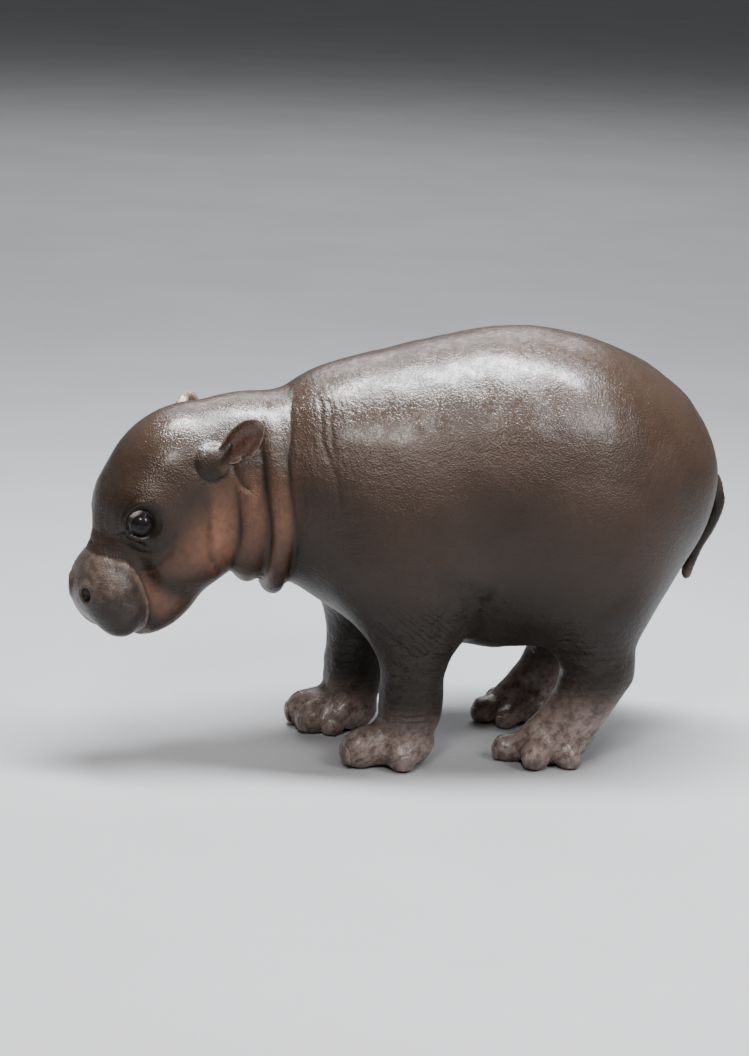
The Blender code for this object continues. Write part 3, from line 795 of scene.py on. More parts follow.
def foldHeights(points):
    # height over the plain skin, and how much painted shade each point gets for lying in a crease, 0 to 1
    height, creaseShade = np.zeros(len(points)), np.zeros(len(points))
    blunt = 0.0004          # rounding of a valley's floor
    for fold in folds:
        for side in (1, -1):
            distance, place, step = alongPath(points, foldPath(fold, side))
            start, stop = fold["ends"]
            strength = (start + (1 - start) * smoothStep(0, fold["ramp"], place)) * (
                stop + (1 - stop) * smoothStep(1, 0.78, place))
            valley = np.exp(-(np.sqrt(distance ** 2 + blunt ** 2) - blunt) / fold["width"]) * strength
            height -= fold["depth"] * valley
            shade = 0.60 if fold["fine"] else 0.25
            # painted shade: the deeper into a valley, the darker its colour
            creaseShade = np.maximum(creaseShade, valley ** 1.5 * min(1.0, fold["depth"] / 0.0012) * shade)
            if fold["lip"]:
                over = np.array(fold["over"], float)
                above = step @ (alongHead(over, side) if fold["frame"] == "head" else over)
                height += fold["lip"] * smoothStep(0, 0.0014, above) * hump(distance, 0.0045) * strength
    for side in (1, -1):
        gap, bearing, distance = lidGap(points, side)
        for outside, depth, width, half in lids["creases"]:
            across = np.abs(np.radians(gap - outside) * eye["radius"])
            reach = smoothStep(-0.15, 0.45, np.sin(np.radians(bearing)) * half)
            valley = np.exp(-across / width) * (reach * smoothStep(0.022, 0.016, distance))
            height -= depth * valley
            creaseShade = np.maximum(creaseShade, valley ** 1.5 * min(1.0, depth / 0.0009))
    for collar in collars:
        across, depth = acrossCollar(points, collar)
        valley = np.exp(-(np.sqrt(across ** 2 + blunt ** 2) - blunt) / collar["width"])
        height -= depth * valley
        creaseShade = np.maximum(creaseShade, valley ** collar["shade"] * np.clip(depth / 0.0026, 0, 1))
    return height, creaseShade


# Unevenness of slack skin and muscle: height, size and seed of its ripples in each place.
slack = {"trunk": (0.0009, 0.075, 3), "legs": (0.0007, 0.026, 5), "back": (0.0003, 0.016, 9)}


def softForms(points):
    # slow over the trunk, quicker on legs and feet, finest on the back, and weak on the head
    ripples = {name: height * ripple(points, size, seed, 2) for name, (height, size, seed) in slack.items()}
    low = smoothStep(0.13, 0.05, points[:, 2])
    upper = smoothStep(0.19, 0.24, points[:, 2]) * smoothStep(-0.06, 0.0, points[:, 1])
    height = ripples["trunk"] * (1 - low) + ripples["legs"] * low + ripples["back"] * upper
    onHead = smoothStep(-0.115, -0.130, points[:, 1])
    return height * (1 - 0.7 * onHead)


def earAxes(side):
    # in the head's frame: along the ear, the way its cup faces, and across it upwards
    along, facing = unit(mirrored(ear["along"], side)), mirrored(ear["facing"], side)
    facing = unit(facing - along * (facing @ along))
    return along, facing, np.cross(along, facing) * -side


def nostrilReach(points, side):
    # distance from the nostril's axis, or far away where a point is not near the nostril
    offset = toHead(points) - mirrored(nostril["centre"], side)
    axis = unit(mirrored(nostril["axis"], side))
    depth = offset @ axis
    return np.where(np.abs(depth) < 0.010, np.linalg.norm(offset - depth[:, None] * axis, axis=1), 1.0)


def hollows(points):
    # pits of the nostrils, and the head pressed in below each ear
    move = np.zeros((len(points), 3))
    for side in (1, -1):
        pit = smoothStep(0.0046, 0.0024, nostrilReach(points, side))
        move -= (nostril["deep"] * pit)[:, None] * alongHead(nostril["axis"], side)
        along, facing, upward = earAxes(side)
        offset = toHead(points) - mirrored(ear["root"], side)
        out, up = offset @ along / ear["length"], offset @ upward / 0.0105
        under = (smoothStep(-0.15, 0.20, out) * smoothStep(0.95, 0.60, out) * smoothStep(1.05, 0.60, -up)
                 * smoothStep(0.20, -0.30, up) * (np.abs(offset @ facing) < 0.014))
        move -= (ear["press"] * under)[:, None] * (headTurn @ facing)
    return move


def makeSkin():
    mesh = makeFirstSkin()
    print("skin: first mesh", len(mesh.polygons))
    points = readPoints(mesh)
    refine(mesh, (points[:, 1] < skin["neckEnd"]) | limbZone(points, -1, skin["legTop"]))
    points = readPoints(mesh)
    resettle(mesh, headDistance, (points[:, 1] < skin["neckEnd"] + 0.010) | (points[:, 2] < 0.12))
    print("skin: after first refine", len(mesh.polygons))
    points = readPoints(mesh)
    refine(mesh, headZone(points, 1.0) | limbZone(points, -1, skin["footTop"]))
    points = readPoints(mesh)
    resettle(mesh, headDistance, headZone(points, 1.15) | limbZone(points, -1, skin["footTop"] + 0.003), 4)
    print("skin: after second refine", len(mesh.polygons))
    points = readPoints(mesh)
    refine(mesh, lidZone(points))
    resettle(mesh, headDistance, lidZone(readPoints(mesh), 3), 4, 0.0008)
    points, normals = readPoints(mesh), normalsOf(mesh)
    height, creaseShade = foldHeights(points)
    onFloor = smoothStep(floorHeight + 0.0002, floorHeight + 0.006, points[:, 2])
    points += normals * ((height + softForms(points)) * onFloor)[:, None]
    points += hollows(points)
    # ease the skin pinched where the second crease passes under the neck
    pinched = hump(np.linalg.norm(points[:, 1:] - np.array(skin["pinchAt"]), axis=1), skin["pinchReach"])
    points = relax(points, readEdges(mesh), 5, 0.5, pinched)
    points[:, 2] = np.maximum(points[:, 2], floorHeight)
    writePoints(mesh, points)
    print("skin: after last refine", len(mesh.polygons), "faces,",
          sum(len(face.vertices) - 2 for face in mesh.polygons), "triangles")
    return mesh, creaseShade


def addParts(mesh, grids):
    # join closed grids to a mesh, after its own points
    extra = meshFromGrids("extra", grids)
    work = bmesh.new()
    work.from_mesh(mesh)
    work.from_mesh(extra)
    work.to_mesh(mesh)
    work.free()
    bpy.data.meshes.remove(extra)


def thicken(sheet, thickness, outside):
    # a sheet as a closed ring of columns: its face towards outside, then its back
    along, across = np.gradient(sheet, axis=0), np.gradient(sheet, axis=1)
    normal = unit(np.cross(along, across))
    normal *= np.where((normal @ outside).mean() < 0, -1, 1)
    step = normal * np.asarray(thickness)[..., None] / 2
    return np.concatenate((sheet + step, (sheet - step)[:, ::-1]), axis=1)


def throughKeys(value, keys):
    # smooth curve through (place, value) keys
    path = smoothPath(keys, 90)
    return np.interp(value, path[:, 0], path[:, 1])


def makeEar(side):
    # reach along the ear, v across it from lower to upper rim: a leaf in the plane of its rim, cupped
    # inwards by cup (1 - |v|^2.4), deepest near the root; with it, how far inside and at the edge it is
    along, facing, upward = earAxes(side)
    reach = np.sin(np.linspace(ear["inside"], math.pi / 2, 30))[:, None]
    v = np.sin(np.linspace(-1, 1, 29) * math.pi / 2)[None, :]
    across = v * np.where(v > 0, throughKeys(reach, ear["upper"]), throughKeys(reach, ear["lower"]))
    outer = np.clip(reach, 0, 1)
    deep = ear["cup"] * (1 - np.abs(v) ** 2.4) * (1.05 - 0.45 * reach) * (1 - 0.8 * outer ** 4)
    ridge = (ear["ridge"] * hump(v - ear["ridgeAt"], 0.20) * smoothStep(0.05, 0.25, reach)
             * smoothStep(0.8, 0.5, reach))
    curl = ear["curl"] * np.abs(v) ** 6 * smoothStep(0.0, 0.3, reach) + ear["tipCurl"] * reach ** 3
    sink = ear["sink"] * smoothStep(0.05, ear["inside"], reach)
    sheet = (mirrored(ear["root"], side) + reach[..., None] * ear["length"] * along
             + across[..., None] * upward + (ridge + curl - deep - sink)[..., None] * facing)
    rim = (1 - np.abs(v) ** 10) ** 0.5
    thickness = ear["thickness"] * (1.35 - 0.6 * outer) * np.maximum(rim, 0.12)
    grid = thicken(sheet, thickness, facing)
    inside = np.concatenate((np.ones_like(sheet[..., 0]), np.zeros_like(sheet[..., 0])), axis=1)
    # edge: the rim and lower lobe, painted pale later, the rim partly as a painted highlight
    edge = np.abs(v) ** 7 * smoothStep(0.1, 0.3, reach) + smoothStep(0.86, 0.99, reach)
    lobe = 0.55 * smoothStep(0.50, 0.25, reach) * smoothStep(-0.35, -0.75, v)
    edge = np.clip(np.concatenate((edge + lobe, edge[:, ::-1]), axis=1), 0, 1)
    return fromHead(grid.reshape(-1, 3)).reshape(grid.shape), inside, edge


def makeTail():
    # a circle carried along the tail's path, its radius through the keys with faint rings, round at the
    # tip; with it, blank layers like the ears'
    path = smoothPath(tail["path"], tail["rows"])
    place = np.linspace(0, 1, tail["rows"])
    radius = np.interp(place, np.linspace(0, 1, len(tail["radii"])), tail["radii"])
    rings = 1 + tail["ringHeight"] * np.sin(place * tail["rings"])
    tip = ((place - tail["tipFrom"]) / tail["tipLength"]).clip(0)
    radius = radius * rings * np.sqrt(np.clip(1 - tip ** 2, 0.01, 1))
    forward = unit(np.gradient(path, axis=0))
    aside = np.array((1.0, 0.0, 0.0))
    around = fullTurn(tail["columns"])[None, :, None]
    circle = np.cos(around) * aside + np.sin(around) * np.cross(forward, aside)[:, None, :]
    blank = np.zeros((tail["rows"], tail["columns"]))
    return path[:, None, :] + radius[:, None, None] * circle, blank, blank


def leftHead(points):
    # points in the head's frame, the right half mirrored onto the left
    inHead = toHead(points)
    inHead[:, 0] = np.abs(inHead[:, 0])
    return inHead


def wrinkleField(points):
    # lines of fine wrinkles: a count that rises by one from line to line, and how strong they are
    x, y, z = points.T
    _, headY, headZ = leftHead(points).T
    eyeAway = np.linalg.norm(leftHead(points) - np.array(eye["centre"]), axis=1)
    # how far behind its own leg's middle each point is
    front, rear = (y - np.where(x > 0, feet[key][1], feet[key][-1]) for key in ("frontY", "rearY"))
    slant = 0.8 * smoothStep(0.055, 0.105, z)
    kinds = [
        # upper arm and lower front leg
        ((z + slant * front) / 0.0046,
         hump(front + 0.004, 0.036) * smoothStep(0.030, 0.040, z) * smoothStep(0.145, 0.110, z)
         * smoothStep(0.012, 0.02, np.abs(x))),
        # round the ankle of the hind leg
        ((z - 0.12 * rear) / 0.0050,
         0.9 * hump(rear + 0.006, 0.030) * smoothStep(0.044, 0.056, z) * smoothStep(0.118, 0.092, z)),
        # over the insteps and toes
        ((z * 0.6 + np.abs(np.where(front < 0.06, front, rear)) * 0.5) / 0.0034,
         0.55 * smoothStep(0.040, 0.026, z)),
        # upright lines over neck and shoulder
        ((y + 0.1 * z) / 0.0042,
         0.35 * smoothStep(-0.018, -0.045, y) * smoothStep(-0.120, -0.105, y) * smoothStep(0.14, 0.17, z)),
        # loose skin of the lower flank
        ((y - 0.15 * z) / 0.0085,
         0.40 * smoothStep(0.140, 0.110, z) * hump(y - 0.062, 0.040) * smoothStep(0.06, 0.09, z)),
        # rings round the eye
        (eyeAway / 0.0019, 0.45 * smoothStep(0.011, 0.013, eyeAway) * smoothStep(0.021, 0.017, eyeAway)
         * smoothStep(0.006, -0.004, headZ)),
        # across the nose
        ((headY - 0.6 * headZ) / 0.0024, 0.5 * smoothStep(-0.044, -0.052, headY)
         * smoothStep(-0.066, -0.061, headY) * smoothStep(-0.020, -0.010, headZ)),
    ]
    count, strength = np.zeros(len(points)), np.zeros(len(points))
    for lines, weight in kinds:
        chosen = weight > strength
        count[chosen] = lines[chosen]
        strength[chosen] = weight[chosen]
    return count, strength


def paintSkin(mesh, creaseShade, inside, edge):
    # layers: rosy, dark and pale, dark holding painted shade and pale painted highlights too; painted crease
    # shade, wrinkles and wet; inner ear, muzzle pad and foot; and the wrinkle count
    points = readPoints(mesh)
    facing = normalsOf(mesh)[:, 2]
    y, z = points[:, 1], points[:, 2]
    headX, headY, headZ = leftHead(points).T
    onHead = smoothStep(-0.112, -0.124, y)
    onLegs = smoothStep(-0.11, -0.05, y)
    # rosy: the neck's lower rolls and the cheek below a line rising towards the ear
    neck = smoothStep(-0.134, -0.122, y) * smoothStep(-0.068, -0.078, y) * smoothStep(0.215, 0.160, z)
    below = headZ - (skin["cheekLine"] + skin["cheekRise"] * (headY + 0.052))
    cheek = (smoothStep(0.012, -0.022, below) * smoothStep(-0.060, -0.051, headY)
             * smoothStep(0.060, 0.030, headY))
    # the muzzle pad lies before its edge's fold
    padEdge = folds[0]["keys"][::-1]
    behind = headY - np.interp(headZ, padEdge[:, 2], padEdge[:, 1])
    pad = smoothStep(0.0008, -0.0010, behind) * onHead
    rosy = np.maximum(np.clip(neck, 0, 1), skin["cheekRosy"] * cheek * onHead * (1 - pad))
    # dark: pigment round the eye, crown, knob, tail and pad's front; painted shade on the belly, down the
    # legs and on whatever faces down
    eyeAway = np.linalg.norm(leftHead(points) - np.array(eye["centre"]), axis=1)
    underEye = hump(headZ + 0.010, 0.012) * hump(headY + 0.034, 0.020) * (headX > 0.012) * onHead
    crown = smoothStep(0.012, 0.028, headZ) * smoothStep(0.012, -0.012, headY) * onHead
    knob = np.exp(-((headY - 0.022) ** 2 + (headZ - 0.012) ** 2) / 0.012 ** 2) * onHead
    belly = smoothStep(0.150, 0.085, z) * smoothStep(0.0, 0.03, y) * smoothStep(0.045, 0.060, z)
    legs = smoothStep(0.135, 0.090, z) * onLegs * smoothStep(0.012, 0.040, z)
    tailed = tailZone(points, 0.0068)
    dark = np.clip(0.25 * hump(eyeAway, 0.016) + 0.35 * underEye + 0.3 * crown + 0.7 * knob
                   + 0.85 * np.maximum(legs, belly) + 1.2 * tailed
                   + 0.45 * pad * smoothStep(-0.072, -0.086, headY)
                   + 0.9 * smoothStep(0.25, -0.65, facing), 0, 1)
    # pale: the pad's paler rear lip with a painted highlight on it, painted highlight over the pad's top,
    # the ears' paler rims with painted highlight, and the tail's end
    pale = np.clip(0.75 * hump(behind + 0.0028, 0.0024) * pad * smoothStep(0.0, -0.014, headZ)
                   + 0.25 * pad * smoothStep(-0.030, -0.018, headZ) + 0.9 * edge
                   + 0.35 * tailed * smoothStep(0.131, 0.121, z), 0, 1)
    # wet: back, feet, round the eye, pad and crown; the feet's pale colour reaches higher on the hind legs
    # as a painted highlight on their tops
    foot = smoothStep(0.052, 0.014, z - 0.014 * smoothStep(0.03, 0.06, y)) * onLegs
    wet = np.clip(smoothStep(0.20, 0.25, z) + 0.8 * foot + 0.8 * hump(eyeAway, 0.0125) + pad * 0.4
                  + onHead * smoothStep(0.010, 0.030, headZ), 0, 1)
    # the lids' dark rims with painted shadow under their edges, and painted shade in the nostrils' pits, as
    # dark as a crease
    lidRimShade = np.zeros(len(points))
    for side in (1, -1):
        gap, bearing, distance = lidGap(points, side)
        low = smoothStep(0.2, -0.4, np.sin(np.radians(bearing)))
        lidRimShade = np.maximum(lidRimShade, smoothStep(14 + 8 * low, 9 + 4 * low, gap) * (distance < 0.016))
    hole = smoothStep(0.0052, 0.0036, np.minimum(nostrilReach(points, 1), nostrilReach(points, -1)))
    creaseShade = np.maximum(creaseShade, np.maximum(0.8 * lidRimShade, hole))
    count, strength = wrinkleField(points)
    for name, layers in (("toneAndPaintedLight", (rosy, dark, pale)), ("shadeAndRelief", (creaseShade, strength, wet)),
                         ("places", (inside * (1 - edge), pad, foot))):
        layer = mesh.attributes.new(name, "FLOAT_COLOR", "POINT")
        colours = np.stack(layers + (np.ones(len(points)),), axis=1)
        layer.data.foreach_set("color", colours.astype(np.float32).ravel())
    layer = mesh.attributes.new("wrinkleCount", "FLOAT", "POINT")
    layer.data.foreach_set("value", count.astype(np.float32))


skinMesh, skinCreaseShade = makeSkin()
onSkin = np.zeros(len(skinCreaseShade))
grids, insides, edges = zip(makeEar(1), makeEar(-1), makeTail())
addParts(skinMesh, grids)
paintSkin(skinMesh, np.concatenate([skinCreaseShade] + [0 * inside.ravel() for inside in insides]),
          np.concatenate([onSkin] + [inside.ravel() for inside in insides]),
          np.concatenate([onSkin] + [edge.ravel() for edge in edges]))
skinPiece = newObject("skin", skinMesh)
writePoints(skinMesh, readPoints(skinMesh) + modelShift)
skinMesh.shade_smooth()
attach(skinPiece, "root")
fleshNodes = ["head", "jaw", "neck", "trunk", "tail", "ear_left", "ear_right"]
fleshNodes += [f"{part}_{end}_{side}" for part in ("leg", "foot") for end in ("front", "rear")
               for side in ("left", "right")]
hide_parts(*fleshNodes)
print("skin painted,", len(skinMesh.vertices), "points")


# Materials.

class Look:
    # a new material's nodes; each method adds one and hands back what comes out of it
    def __init__(self, name, **constants):
        self.material = bpy.data.materials.new(name)
        self.material.use_nodes = True
        self.tree = self.material.node_tree
        self.shader = self.tree.nodes["Principled BSDF"]
        for key, value in constants.items():
            self.shader.inputs[key.replace("_", " ")].default_value = value

    def put(self, kind, inputs, output=0, **settings):
        made = self.tree.nodes.new(kind)
        for name, value in settings.items():
            setattr(made, name, value)
        for key, value in inputs.items():
            if isinstance(value, bpy.types.NodeSocket):
                self.tree.links.new(value, made.inputs[key])
            else:
                made.inputs[key].default_value = value
        return made.outputs if output is None else made.outputs[output]

    def link(self, **results):
        for key, value in results.items():
            self.tree.links.new(value, self.shader.inputs[key.replace("_", " ")])

    def place(self):
        return self.put("ShaderNodeTexCoord", {}, "Object")

    def layer(self, name, output="Vector"):
        return self.put("ShaderNodeAttribute", {}, output, attribute_name=name)

    def layers(self, name):
        return self.put("ShaderNodeSeparateColor", {0: self.layer(name, "Color")}, None)

    def noise(self, place, scale, detail=3.0, rough=0.55, output="Fac"):
        return self.put("ShaderNodeTexNoise", {"Vector": place, "Scale": scale, "Detail": detail,
                                               "Roughness": rough}, output)

    def figure(self, operation, *values):
        return self.put("ShaderNodeMath", dict(enumerate(values)), operation=operation)

    def times(self, first, second):
        return self.figure("MULTIPLY", first, second)

    def vector(self, operation, *values):
        return self.put("ShaderNodeVectorMath", dict(enumerate(values)), operation=operation)

    def spread(self, value, low, high, toLow=0.0, toHigh=1.0):
        # low to high made toLow to toHigh, eased at both ends
        return self.put("ShaderNodeMapRange", {0: value, 1: low, 2: high, 3: toLow, 4: toHigh},
                        interpolation_type="SMOOTHSTEP")

    def blend(self, share, first, second):
        return self.put("ShaderNodeMix", {0: share, 6: first, 7: second}, 2, data_type="RGBA")

    def bump(self, height):
        return self.put("ShaderNodeBump", {"Height": height, "Distance": 1.0, "Strength": 1.0}, "Normal")


# Skin: moist hide with a fine pebbled grain, wrinkle lines that follow the body, and its colours by place.
hide = {
    "brown": (0.038, 0.023, 0.016, 1), "deep": (0.023, 0.013, 0.008, 1),
    # crease: painted shade for creases, lid edges, nostril pits and wrinkle valleys; pale: pigment with
    # painted highlights on the pad and the ears' rims
    "rosy": (0.245, 0.110, 0.066, 1), "pale": (0.240, 0.170, 0.135, 1), "creaseShade": (0.008, 0.005, 0.003, 1),
    "innerEar": (0.070, 0.030, 0.020, 1), "pad": (0.026, 0.0185, 0.0145, 1),
    # dark: pigment, and painted shade under the body, down the legs and wherever the skin faces down
    "padLight": (0.050, 0.036, 0.029, 1), "dark": (0.011, 0.0065, 0.0035, 1),
    # foot: the feet's own colour, also a painted highlight on the hind feet's tops
    "foot": (0.220, 0.158, 0.136, 1),
    "grain": 0.00115, "wrinkleDepth": 0.00048, "grainDepth": 0.00016, "fineDepth": 0.00006,
    "slowDepth": 0.00042,
}


def makeHide():
    look = Look("hide", Specular_IOR_Level=0.30, Coat_Roughness=0.27, Coat_IOR=1.42)
    place = look.place()
    rosy, dark, pale = look.layers("toneAndPaintedLight")
    creaseShade, wrinkled, wet = look.layers("shadeAndRelief")
    innerEar, pad, foot = look.layers("places")
    count = look.layer("wrinkleCount", "Fac")
    slow = look.noise(place, 26.0, 4.0)
    middle = look.noise(place, 190.0, 4.0, 0.6)
    fine = look.noise(place, 1700.0, 2.0)
    # wrinkle lines: the valleys of |sin(pi count)|, wavering with the middle noise
    waver = look.figure("ADD", count, look.times(middle, 1.5))
    wave = look.figure("ABSOLUTE", look.figure("SINE", look.times(waver, math.pi)))
    ridge = look.figure("POWER", wave, 0.55)
    broken = look.spread(look.noise(place, 95.0, 2.0), 0.34, 0.58)
    lines = look.times(look.times(ridge, wrinkled), broken)
    # pebbles: rounded tops over each cell's middle, of uneven height, smoothed away inside creases
    wobble = look.vector("MULTIPLY", look.noise(place, 500.0, 1.0, 0.5, "Color"), (0.0011, 0.0011, 0.0011))
    moved = look.vector("ADD", place, wobble)
    cells = look.put("ShaderNodeTexVoronoi", {"Vector": moved, "Scale": 1 / hide["grain"],
                                              "Smoothness": 0.6}, "Distance", feature="SMOOTH_F1")
    pebble = look.spread(cells, 0.75, 0.10)
    calm = look.spread(creaseShade, 0.15, 0.70, 1.0, 0.15)
    grain = look.times(look.times(pebble, calm), look.spread(middle, 0.25, 0.75, 0.55, 1.2))
    height = look.times(lines, hide["wrinkleDepth"])
    for value, depth in ((grain, "grainDepth"), (fine, "fineDepth"), (middle, "slowDepth")):
        height = look.figure("MULTIPLY_ADD", value, hide[depth], height)
    normal = look.bump(height)
    # colours, each laid over the last where its layer says
    colour = look.blend(look.spread(slow, 0.25, 0.60, 0.35, 1.0), hide["deep"], hide["brown"])
    muzzle = look.blend(look.spread(middle, 0.38, 0.66), hide["pad"], hide["padLight"])
    colour = look.blend(pad, colour, muzzle)
    patchy = look.times(rosy, look.spread(middle, 0.25, 0.65, 0.55, 1.0))
    colour = look.blend(patchy, colour, hide["rosy"])
    # dark pigment, with painted shade under the body and legs
    colour = look.blend(dark, colour, hide["dark"])
    # pale: pigment, with painted highlights on the pad and the ears' rims
    colour = look.blend(look.times(pale, look.spread(middle, 0.3, 0.65, 0.45, 1.0)), colour, hide["pale"])
    colour = look.blend(innerEar, colour, hide["innerEar"])
    # the feet's colour, with a painted highlight on the hind feet's tops
    colour = look.blend(look.times(foot, look.spread(middle, 0.30, 0.60, 0.35, 0.95)), colour, hide["foot"])
    # painted shade: the wrinkle lines' valleys and the creases take the near-black crease colour
    gap = look.times(look.spread(ridge, 0.75, 0.25), look.times(wrinkled, 0.55))
    colour = look.blend(look.figure("MAXIMUM", creaseShade, gap), colour, hide["creaseShade"])
    # water lies in patches, so the gloss comes and goes
    film = look.times(wet, look.spread(slow, 0.36, 0.56, 0.50, 1.0))
    rough = look.spread(film, 0.0, 1.0, 0.40, 0.17)
    water = look.times(look.spread(film, 0.25, 1.0, 0.0, 0.80), look.spread(middle, 0.38, 0.60, 0.25, 1.0))
    look.link(Base_Color=colour, Roughness=rough, Coat_Weight=water, Normal=normal)
    return look.material


skinMesh.materials.append(makeHide())


# Eyes: a dark iris under a bulging cornea, and the white above it.
eyeball = {"dip": 0.34, "back": 0.10, "bulge": 0.0009, "corneaAngle": 52.0, "irisEdge": 0.80,
           "pupil": (0.34, 0.25), "black": (0.002, 0.002, 0.002, 1),
           "iris": ((0.005, 0.004, 0.005, 1), (0.016, 0.011, 0.010, 1)), "irisRim": (0.006, 0.006, 0.008, 1),
           "white": (0.40, 0.37, 0.35, 1), "veins": (0.26, 0.15, 0.12, 1), "shade": (0.038, 0.030, 0.026, 1)}


def makeEye(side):
    # round the eye's axis: radius + bulge (1 - (angle / cornea angle)^2)^1.5 at each angle from it
    outward, forward, upward = eyeAxes[side]
    axis = unit(outward - eyeball["dip"] * upward + eyeball["back"] * forward)
    up = unit(upward - axis * (upward @ axis))
    across = np.cross(up, axis)
    angle = np.linspace(0.012, math.pi - 0.03, 44)[:, None]
    around = fullTurn(56)[None, :]
    inner = np.clip(1 - (np.degrees(angle) / eyeball["corneaAngle"]) ** 2, 0, 1)
    radius = eye["radius"] + eyeball["bulge"] * inner ** 1.5
    disc = np.stack((np.sin(angle) * np.cos(around), np.sin(angle) * np.sin(around),
                     np.cos(angle) + 0 * around), axis=-1)
    grid = radius[..., None] * (disc[..., :1] * across + disc[..., 1:2] * up + disc[..., 2:] * axis)
    grid = (grid + mirrored(eye["centre"], side)).reshape(-1, 3)
    mesh = meshFromGrids("eyeball", [fromHead(grid).reshape(disc.shape) + modelShift])
    layer = mesh.attributes.new("disc", "FLOAT_VECTOR", "POINT")
    layer.data.foreach_set("vector", disc.reshape(-1, 3).astype(np.float32).ravel())
    mesh.shade_smooth()
    return mesh


def makeEyeMaterial():
    look = Look("eyeWet", Coat_Weight=1.0, Coat_Roughness=0.02, Coat_IOR=1.42, Roughness=0.3,
                Specular_IOR_Level=0.05)
    disc = look.layer("disc")
    across, up = look.put("ShaderNodeSeparateXYZ", {0: disc}, None)[:2]
    reach = look.figure("SQRT", look.figure("ADD", look.times(across, across), look.times(up, up)))
    # the pupil is a lying oval
    pupil = look.figure("SQRT", look.figure(
        "ADD", look.figure("POWER", look.figure("DIVIDE", across, eyeball["pupil"][0]), 2.0),
        look.figure("POWER", look.figure("DIVIDE", up, eyeball["pupil"][1]), 2.0)))
    bearing = look.vector("NORMALIZE", disc)
    turned = look.figure("ARCTAN2", up, across)
    streakPlace = look.put("ShaderNodeCombineXYZ", {0: look.times(turned, 9.0), 1: look.times(reach, 2.0)})
    streak = look.noise(streakPlace, 1.6, 3.0)
    veins = look.noise(bearing, 14.0, 5.0, 0.7)
    iris = look.blend(look.spread(streak, 0.35, 0.7), *eyeball["iris"])
    iris = look.blend(look.spread(reach, 0.56, eyeball["irisEdge"]), iris, eyeball["irisRim"])
    colour = look.blend(look.spread(pupil, 1.10, 0.92), iris, eyeball["black"])
    white = look.blend(look.spread(veins, 0.52, 0.66), eyeball["white"], eyeball["veins"])
    # the white only shows above: elsewhere the rim of the eyeball is dark
    white = look.blend(look.spread(up, 0.95, 0.78), white, eyeball["shade"])
    rim = eyeball["irisEdge"]
    colour = look.blend(look.spread(reach, rim, rim + 0.035), colour, white)
    coat = look.spread(reach, rim - 0.04, rim + 0.05, 0.42, 0.60)
    look.link(Base_Color=colour, Coat_Weight=coat)
    return look.material


eyeMaterial = makeEyeMaterial()
for side, word in ((1, "left"), (-1, "right")):
    piece = newObject("eyeball_" + word, makeEye(side))
    piece.data.materials.append(eyeMaterial)
    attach(piece, "root")
    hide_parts("eye_" + word)
print("eyes made")


# Nails: small hooves, each a thick curved plate over the end of its toe.
nail = {"halfTurn": 37.0, "low": -42.0, "high": 18.0, "thickness": 0.0012, "proud": 0.0001,
        "flare": 0.0007, "bandDepth": 0.0002, "dark": (0.085, 0.056, 0.047, 1),
        "pale": (0.230, 0.170, 0.148, 1), "worn": (0.33, 0.26, 0.22, 1)}


def makeNail(end, side, angle, reach, radius):
    # plate over the toe's round end: at each turn to the sides and tilt up, tip + out (cos tilt (cos turn
    # ahead + sin turn aside) + sin tilt up), flaring towards its lower edge
    ahead = toeAhead(angle, side)
    aside = np.array((-ahead[1], ahead[0], 0.0))
    tip = footCentre(end, side) + ahead * reach + (0, 0, radius - feet["soleDepth"])
    across = np.linspace(-1, 1, 21)[:, None]
    up = np.linspace(0, 1, 15)[None, :]
    turned = np.radians(across * nail["halfTurn"])[..., None]
    corner = 1 - 0.35 * np.abs(across) ** 4
    tilt = np.radians(nail["low"] + (nail["high"] - nail["low"]) * up * corner)[..., None]
    out = (radius + nail["proud"] + nail["flare"] * (1 - up) ** 1.5)[..., None]
    sheet = tip + out * (np.cos(tilt) * (np.cos(turned) * ahead + np.sin(turned) * aside)
                         + np.sin(tilt) * np.array((0, 0, 1.0)))
    edge = (1 - np.abs(across) ** 8) ** 0.5 * (1 - (2 * up - 1) ** 12) ** 0.5
    grid = thicken(sheet, nail["thickness"] * np.maximum(edge, 0.1), ahead)
    grid[..., 2] = np.maximum(grid[..., 2], floorHeight)
    mesh = meshFromGrids("nail", [grid + modelShift])
    mesh.shade_smooth()
    return mesh


def makeNailMaterial():
    look = Look("horn", Coat_Weight=0.25, Coat_Roughness=0.25)
    place = look.place()
    grain = look.put("ShaderNodeMapping", {0: place, 3: (1.0, 1.0, 0.25)})
    bands = look.noise(grain, 420.0, 4.0)
    patches = look.noise(place, 130.0, 4.0)
    colour = look.blend(look.spread(patches, 0.35, 0.68), nail["dark"], nail["pale"])
    colour = look.blend(look.spread(bands, 0.55, 0.75), colour, nail["worn"])
    look.link(Base_Color=colour, Roughness=look.spread(patches, 0.3, 0.7, 0.30, 0.48),
              Normal=look.bump(look.times(bands, nail["bandDepth"])))
    return look.material


nailMaterial = makeNailMaterial()
for end in ("front", "rear"):
    for side, word in ((1, "left"), (-1, "right")):
        for (angle, reach, radius), toe in zip(feet[end + "Toes"], feet["toeNames"]):
            name = f"{end}_{word}_{toe}"
            piece = newObject("hoof_" + name, makeNail(end, side, angle, reach, radius))
            piece.data.materials.append(nailMaterial)
            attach(piece, "root")
            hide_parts("nail_" + name)
print("nails made")


# Floor, lights and camera.

studio = {"floor": ((0.325, 0.325, 0.332, 1), (0.350, 0.350, 0.358, 1)), "floorReach": 30,
          "air": (0.84, 0.85, 0.88, 1), "airStrength": 0.17}


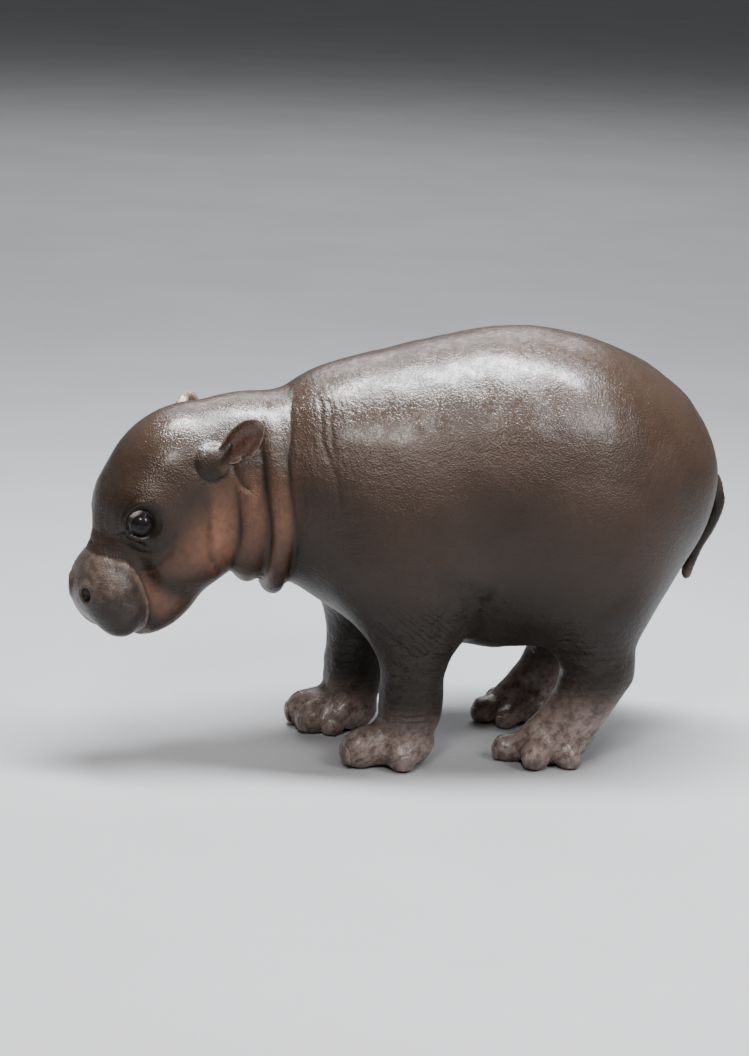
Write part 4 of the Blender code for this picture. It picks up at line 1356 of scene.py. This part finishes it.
def makeFloorMaterial():
    look = Look("studioFloor", Specular_IOR_Level=0.2)
    place = look.place()
    cloud = look.noise(place, 3.0, 4.0)
    grit = look.noise(place, 220.0, 3.0)
    colour = look.blend(look.spread(cloud, 0.3, 0.7), *studio["floor"])
    look.link(Base_Color=colour, Roughness=look.spread(grit, 0.3, 0.7, 0.62, 0.74))
    return look.material


floorLines = np.linspace(-studio["floorReach"], studio["floorReach"], 3)
floorGrid = np.stack(np.meshgrid(floorLines, floorLines) + [np.zeros((3, 3))], axis=-1)
floor = newObject("floor", meshFromGrids("floor", [floorGrid], False, False))
floor.data.materials.append(makeFloorMaterial())

view = {"azimuth": 78.0, "elevation": 13.0, "distance": 1.8, "roll": 2.0, "lens": 92.05,
        "target": (0.0, -0.0100, 0.1550)}
azimuth, elevation = math.radians(view["azimuth"]), math.radians(view["elevation"])
back = np.array((math.sin(azimuth) * math.cos(elevation), -math.cos(azimuth) * math.cos(elevation),
                 math.sin(elevation)))
right = np.array((math.cos(azimuth), math.sin(azimuth), 0.0))
upward = np.cross(back, right)
roll = math.radians(view["roll"])
right, upward = (right * math.cos(roll) + upward * math.sin(roll),
                 upward * math.cos(roll) - right * math.sin(roll))
camera = bpy.data.objects.new("camera", bpy.data.cameras.new("camera"))
bpy.context.scene.collection.objects.link(camera)
camera.matrix_world = (
    Matrix.Translation(np.array(view["target"]) + modelShift + back * view["distance"])
    @ Matrix(np.stack((right, upward, back), axis=1).tolist()).to_4x4())
camera.data.lens = view["lens"]
camera.data.clip_end = 200
bpy.context.scene.camera = camera

world = bpy.data.worlds.new("studio")
world.use_nodes = True
world.node_tree.nodes["Background"].inputs["Color"].default_value = studio["air"]
world.node_tree.nodes["Background"].inputs["Strength"].default_value = studio["airStrength"]
bpy.context.scene.world = world

# Soft lamps: size, power, colour, place, and the point each looks at.
lamps = {
    "sky": {"size": (0.25, 1.15), "power": 86, "colour": (0.96, 0.98, 1.0), "at": (0.02, 0.10, 1.45),
            "to": (0.0, 0.06, 0.2)},
    "side": {"size": (0.50, 0.50), "power": 15, "colour": (0.95, 0.97, 1.0), "at": (1.05, 0.80, 1.20),
             "to": (0.0, 0.10, 0.20)},
    "backdrop": {"size": (3.0, 3.0), "power": 115, "colour": (0.97, 0.98, 1.0), "at": (-3.2, 0.6, 2.8),
                 "to": (-3.2, 0.6, 0.0)},
    "window": {"size": (0.30, 0.30), "power": 17, "colour": (1.0, 0.97, 0.93), "at": (1.25, -0.45, 1.45),
               "to": (0.0, -0.02, 0.15)},
}
for name, lamp in lamps.items():
    light = bpy.data.lights.new(name, "AREA")
    light.shape = "RECTANGLE"
    light.size, light.size_y = lamp["size"]
    light.energy = lamp["power"]
    light.color = lamp["colour"]
    lightPiece = bpy.data.objects.new(name, light)
    bpy.context.scene.collection.objects.link(lightPiece)
    aim = Vector(lamp["at"]) - Vector(lamp["to"])
    turned = aim.to_track_quat("Z", "Y").to_matrix().to_4x4()
    lightPiece.matrix_world = Matrix.Translation(lamp["at"]) @ turned
print("floor, camera and lamps made")
